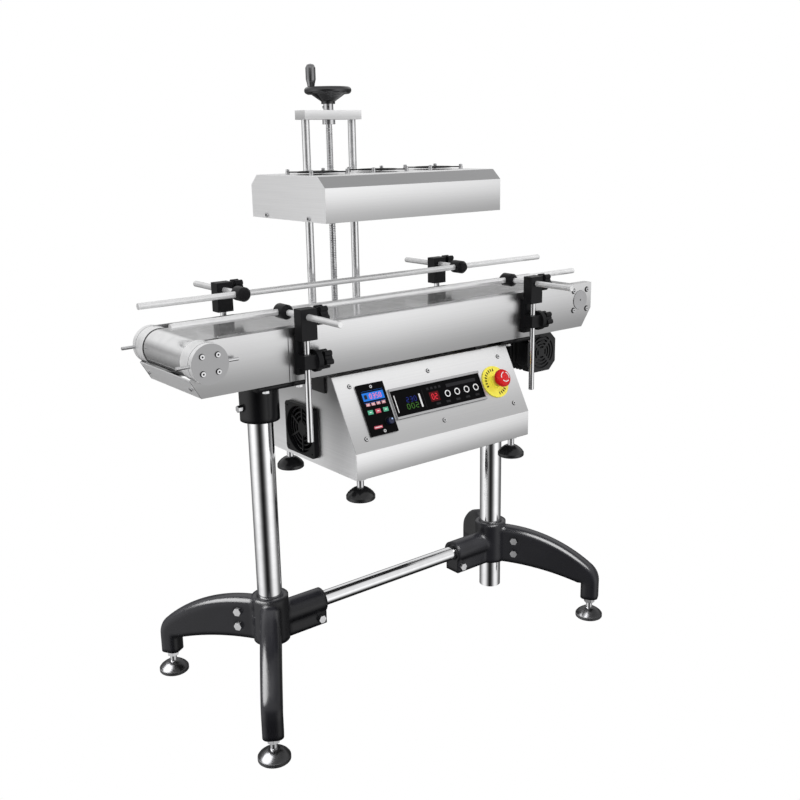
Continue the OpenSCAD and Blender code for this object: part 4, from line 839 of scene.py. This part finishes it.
def discs(name, spots, sides, radius, body, material=RECESS_SHADE, depth=0.5):
    """Small discs on screws and plates: sockets, rings round the heads and heads. In the default dark
    material they are painted shade, for the shade inside sockets and round screw heads.
    """
    mesh = bpy.data.meshes.new(name + "_points")
    mesh.from_pydata([place for place, way in spots], [], [])
    facing = mesh.attributes.new("facing", "FLOAT_VECTOR", "POINT")
    for i, (place, way) in enumerate(spots):
        facing.data[i].vector = way
    made = grow(SOCKETS, {"Sides": sides, "Radius": radius * MM, "Depth": depth * MM, "Material": material},
                mesh)
    joined(name, [made], body)


SCREW_HEAD = 3
# Sides of sockets, dots, round heads and the painted shadow rings round heads
HEXAGON, DOT, ROUND_HEAD, ROUND = 6, 16, 20, 24


def panel_screws():
    """Sockets and painted shadow rings round the screws on the panel, and small screws on the controller."""
    panel = [panel_spot(u, v, 2) for u in (33, 230, 427) for v in (24, 131)]
    discs("panel_screw_sockets", panel, HEXAGON, 2.0, "machine")
    discs("panel_screw_shadows", sunk(panel, 2), ROUND, 5.0, "machine", RECESS_SHADE, 0.3)
    unit = [panel_spot(CONTROLLER[0] + 32, CONTROLLER[1] + v, 5) for v in (6, 97)]
    discs("controller_screws", unit, ROUND_HEAD, 3.2, "machine", SCREW_STEEL, 1.2)
    discs("controller_screw_sockets", sunk(unit, -0.6), HEXAGON, 1.5, "machine")


def conveyor_screws():
    """Sockets and painted shadow rings round the screws on the tail caps and the front bearing."""
    cap_screw, bearing_screw, cover_proud = 15, 22, 1.5
    face = box("tail_caps")[1].y + SCREW_HEAD
    caps = [spot(TAIL.x + i * cap_screw, side * face, TAIL.z + j * cap_screw, (0, side, 0))
            for side in (-1, 1) for i in (-1, 1) for j in (-1, 1)]
    discs("cap_screw_sockets", caps, HEXAGON, 2.0, "machine")
    discs("cap_screw_shadows", sunk(caps, SCREW_HEAD), ROUND, 5.6, "machine")
    cover = box("bearing_plates")[0].y
    heads = cover + cover_proud - SCREW_HEAD
    ahead = (0, -1, 0)
    bearing = [spot(DRIVE.x + i * bearing_screw, heads, DRIVE.z + j * bearing_screw, ahead)
               for i in (-1, 1) for j in (-1, 1)]
    discs("bearing_screw_sockets", bearing, HEXAGON, 1.8, "machine")
    discs("bearing_screw_shadows", sunk(bearing, SCREW_HEAD), ROUND, 6.6, "machine")
    centre = [spot(DRIVE.x, cover, DRIVE.z, ahead)]
    discs("bearing_cover_centre", centre, DOT, 1.9, "machine", RECESS_SHADE, 0.3)


def head_screws():
    """Sockets of the fan screws and of the screws at the head's ends."""
    end_screw_y, end_screw_z = 74, 963
    low, high = box("head_screws")
    fans = [spot(x + i * FAN_HOLE, HEAD.y + j * FAN_HOLE, high.z, (0, 0, 1))
            for x in FAN_X for i in (-1, 1) for j in (-1, 1)]
    discs("fan_screw_sockets", fans, HEXAGON, 1.4, "sealing_head")
    ends = [spot(x, HEAD.y + j * end_screw_y, end_screw_z, (way, 0, 0))
            for j in (-1, 1) for x, way in ((low.x, -1), (high.x, 1))]
    discs("head_end_sockets", ends, HEXAGON, 2.5, "sealing_head")


def hub_set_screws():
    """Two set screws in the neck of the handwheel's hub, one of them standing out."""
    neck, height = 9.9, box("handwheel")[0].z + 6
    for name, (x, y), sides, radius, material, depth in (
            ("hub_set_screw_socket", (-0.6, -0.8), HEXAGON, 2.2, RECESS_SHADE, 0.5),
            ("hub_set_screw", (-0.8, 0.6), DOT, 2.6, SCREW_STEEL, 4.0)):
        place = spot(LIFT.x + x * neck, LIFT.y + y * neck, height, (x, y, 0))
        discs(name, [place], sides, radius, "lifting_screw", material, depth)


def lifting_screw():
    """The lifting screw with its thread and collar, inside the plain screw of the solids."""
    low, high = (corner.z for corner in box("lead_screw"))
    core_r, pitch, thread_top = 6.0, 5.0, 1130
    collar_z, collar_r, collar_h = 1132.7, 13.0, 9.0
    turns = math.floor((thread_top - low) / pitch)
    thread = smooth(grow(THREAD, {"Turns": float(turns), "Radius": core_r * MM, "Length": turns * pitch * MM,
                                  "Depth": 0.98 * MM, "Material": SCREW_STEEL}))
    core = Shapes()
    core.disc((0, 0, low), core_r, high - low, SCREW_STEEL)
    core.disc((0, 0, collar_z), collar_r, collar_h, SCREW_STEEL)
    axis = Matrix.Translation((LIFT.x * MM, LIFT.y * MM, 0))
    foot = axis @ Matrix.Translation((0, 0, low * MM))
    joined("lead_screw_look", [placed(smooth(core.mesh("screw_core")), axis), placed(thread, foot)],
           "lifting_screw", ["lead_screw"])


def takeup_threads():
    """Threads on the two take-up screws at the tail."""
    outer_end, screw_y = -525.5, 111
    threads = []
    for y in (-screw_y, screw_y):
        thread = grow(THREAD, {"Turns": 17.0, "Radius": 2.75 * MM, "Length": 24.5 * MM, "Depth": 0.5 * MM,
                               "Material": SCREW_STEEL})
        place = Matrix.Translation((outer_end * MM, y * MM, TAIL.z * MM))
        threads.append(smooth(placed(thread, place @ Matrix.Rotation(math.radians(90), 4, "Y"))))
    joined("takeup_threads", threads, "machine")


controller_keys()
display_marks()
stop_marks()
painted_dial_glint()
panel_screws()
conveyor_screws()
head_screws()
hub_set_screws()
lifting_screw()
takeup_threads()


# Stage, light and camera

# What bright metal mirrors: light levels by the direction round about, in degrees, and by the height
ROUND_ABOUT = ((-180, 0.95), (-171, 0.68), (-161, 0.34), (-151, 0.13), (-142, 0.035), (-133, 0.012),
               (-124, 0.025), (-115, 0.075), (-106, 0.24), (-97, 0.48), (-88, 0.84), (-78, 1.1), (-68, 1.15),
               (-58, 1.05), (-48, 0.92), (-36, 0.5), (-24, 0.26), (-9, 0.14), (10, 0.11), (60, 0.11),
               (85, 0.14), (112, 0.32), (130, 0.66), (145, 0.94), (157, 1.1), (170, 1.1), (180, 0.95))
UP_AND_DOWN = ((-1.0, 0.06), (-0.78, 0.07), (-0.56, 0.55), (-0.42, 0.85), (-0.30, 1.0), (-0.08, 1.0),
               (0.02, 0.80), (0.10, 0.75), (0.20, 0.90), (0.34, 1.0), (0.60, 0.95), (0.78, 0.62),
               (0.88, 0.70), (1.0, 0.9))
CEILING_FROM, CEILING_FULL, CEILING_LEVEL = 0.08, 0.36, 0.80
MIRROR_GAIN = 1.16


def ramp(tree, stops, low, high):
    """A ramp of grey levels over a span of values."""
    node = tree.nodes.new("ShaderNodeValToRGB")
    elements = node.color_ramp.elements
    while len(elements) < len(stops):
        elements.new(0.5)
    for element, (value, level) in zip(elements, stops):
        element.position = (value - low) / (high - low)
    for element, (value, level) in zip(elements, stops):
        element.color = (level, level, level, 1)
    return node


def sums(tree, operation, *values):
    """One sum on sockets and numbers."""
    node = tree.nodes.new("ShaderNodeMath")
    node.operation = operation
    for socket, value in zip(node.inputs, values):
        if isinstance(value, (int, float)):
            socket.default_value = value
        else:
            tree.links.new(value, socket)
    return node.outputs["Value"]


def spanned(tree, value, low, high, to_low, to_high):
    """A value carried over from one span to another."""
    node = tree.nodes.new("ShaderNodeMapRange")
    for name, end in (("From Min", low), ("From Max", high), ("To Min", to_low), ("To Max", to_high)):
        node.inputs[name].default_value = end
    tree.links.new(value, node.inputs["Value"])
    return node.outputs["Result"]


def studio():
    """White to the camera, soft all round to plain surfaces, light and dark fields to bright metal."""
    world = bpy.data.worlds.new("studio")
    bpy.context.scene.world = world
    world.use_nodes = True
    tree = world.node_tree
    tree.nodes.clear()
    out = tree.nodes.new("ShaderNodeOutputWorld")
    path = tree.nodes.new("ShaderNodeLightPath")
    coords = tree.nodes.new("ShaderNodeTexCoord")
    split = tree.nodes.new("ShaderNodeSeparateXYZ")
    tree.links.new(coords.outputs["Generated"], split.inputs["Vector"])
    x, y, z = split.outputs["X"], split.outputs["Y"], split.outputs["Z"]
    around = ramp(tree, ROUND_ABOUT, -180, 180)
    tree.links.new(spanned(tree, sums(tree, "ARCTAN2", y, x), -math.pi, math.pi, 0, 1), around.inputs["Fac"])
    height = ramp(tree, UP_AND_DOWN, -1, 1)
    tree.links.new(spanned(tree, z, -1, 1, 0, 1), height.inputs["Fac"])
    blend = spanned(tree, z, CEILING_FROM, CEILING_FULL, 0, 1)
    low = sums(tree, "MULTIPLY", around.outputs["Color"], sums(tree, "SUBTRACT", 1.0, blend))
    field = sums(tree, "ADD", low, sums(tree, "MULTIPLY", blend, CEILING_LEVEL))
    shown = sums(tree, "MULTIPLY", field, height.outputs["Color"])
    shown = sums(tree, "MULTIPLY", shown, MIRROR_GAIN)
    ahead = sums(tree, "ADD", sums(tree, "MULTIPLY", x, 0.4), sums(tree, "MULTIPLY", y, -0.6))
    plain = spanned(tree, ahead, -0.7, 0.7, 0.45, 0.80)
    level = tree.nodes.new("ShaderNodeMix")
    tree.links.new(path.outputs["Is Glossy Ray"], level.inputs["Factor"])
    tree.links.new(plain, level.inputs["A"])
    tree.links.new(shown, level.inputs["B"])
    soft = tree.nodes.new("ShaderNodeBackground")
    tree.links.new(level.outputs["Result"], soft.inputs["Strength"])
    seen = tree.nodes.new("ShaderNodeBackground")
    seen.inputs["Color"].default_value = (1, 1, 1, 1)
    soft.inputs["Color"].default_value = (1, 1, 1, 1)
    mix = tree.nodes.new("ShaderNodeMixShader")
    tree.links.new(path.outputs["Is Camera Ray"], mix.inputs["Fac"])
    tree.links.new(soft.outputs["Background"], mix.inputs[1])
    tree.links.new(seen.outputs["Background"], mix.inputs[2])
    tree.links.new(mix.outputs["Shader"], out.inputs["Surface"])


def floor():
    """A pale floor, white to the camera. Bright metal looks past it."""
    mat = bpy.data.materials.new("white_floor")
    mat.use_nodes = True
    tree = mat.node_tree
    tree.nodes.clear()
    out = tree.nodes.new("ShaderNodeOutputMaterial")
    path = tree.nodes.new("ShaderNodeLightPath")
    plain = tree.nodes.new("ShaderNodeBsdfDiffuse")
    plain.inputs["Color"].default_value = (0.82, 0.82, 0.82, 1)
    white = tree.nodes.new("ShaderNodeEmission")
    mix = tree.nodes.new("ShaderNodeMixShader")
    tree.links.new(path.outputs["Is Camera Ray"], mix.inputs["Fac"])
    tree.links.new(plain.outputs["BSDF"], mix.inputs[1])
    tree.links.new(white.outputs["Emission"], mix.inputs[2])
    tree.links.new(mix.outputs["Shader"], out.inputs["Surface"])
    mesh = bpy.data.meshes.new("floor")
    half = 12.0
    corners = [(-half, -half, 0), (half, -half, 0), (half, half, 0), (-half, half, 0)]
    mesh.from_pydata(corners, [], [(0, 1, 2, 3)])
    mesh.materials.append(mat)
    plane = bpy.data.objects.new("floor", mesh)
    bpy.context.scene.collection.objects.link(plane)
    plane.visible_glossy = False


def softbox(name, place, target, size, power):
    """A rectangular lamp that bright metal doesn't mirror."""
    data = bpy.data.lights.new(name, "AREA")
    data.shape = "RECTANGLE"
    data.size, data.size_y = size
    data.energy = power
    lamp = bpy.data.objects.new(name, data)
    bpy.context.scene.collection.objects.link(lamp)
    lamp.visible_glossy = False
    lamp.location = place
    lamp.rotation_euler = (Vector(target) - Vector(place)).to_track_quat("-Z", "Y").to_euler()


def stand_light(name, toward, width, strength, pieces):
    """Soft light on black pieces of the stand alone, which shows their rounded shoulders."""
    data = bpy.data.lights.new(name, "SUN")
    data.angle = math.radians(width)
    data.energy = strength
    data.diffuse_factor = 0.0
    data.use_shadow = False
    lamp = bpy.data.objects.new(name, data)
    bpy.context.scene.collection.objects.link(lamp)
    lamp.rotation_euler = (-Vector(toward)).to_track_quat("-Z", "Y").to_euler()
    lit = bpy.data.collections.new(name)
    for piece in pieces:
        lit.objects.link(piece)
    lamp.light_linking.receiver_collection = lit


CAMERA_PLACE = (-1.2210, -1.5987, 1.1083)
CAMERA_TURN, CAMERA_DIP, CAMERA_ROLL = -38.21, 15.072, -0.981
CAMERA_LENS = 44.182


def photo_camera():
    """The camera, in front of the machine and to its left."""
    data = bpy.data.cameras.new("photo_camera")
    data.sensor_width = 36.0
    data.lens = CAMERA_LENS
    camera = bpy.data.objects.new("photo_camera", data)
    bpy.context.scene.collection.objects.link(camera)
    camera.matrix_world = (Matrix.Translation(CAMERA_PLACE)
                           @ Matrix.Rotation(math.radians(CAMERA_TURN), 4, "Z")
                           @ Matrix.Rotation(math.radians(90 - CAMERA_DIP), 4, "X")
                           @ Matrix.Rotation(math.radians(CAMERA_ROLL), 4, "Z"))
    bpy.context.scene.camera = camera


studio()
floor()
softbox("key", (-1.6, -2.4, 2.6), (0, 0, 0.7), (1.6, 1.2), 26)
softbox("fill", (2.4, -1.8, 1.6), (0.1, 0, 0.7), (1.2, 1.8), 20)
softbox("top", (0.2, 0.2, 3.2), (0.0, 0, 0.8), (2.2, 1.2), 12)
stand_light("left_base_light", (-0.60, 0.24, 0.76), 58, 15, (CAD["left_base"], FEET))
stand_light("right_base_light", (-0.16, -0.50, 0.85), 50, 13, (CAD["right_base"],))
photo_camera()
bpy.context.scene.view_settings.view_transform = "Standard"
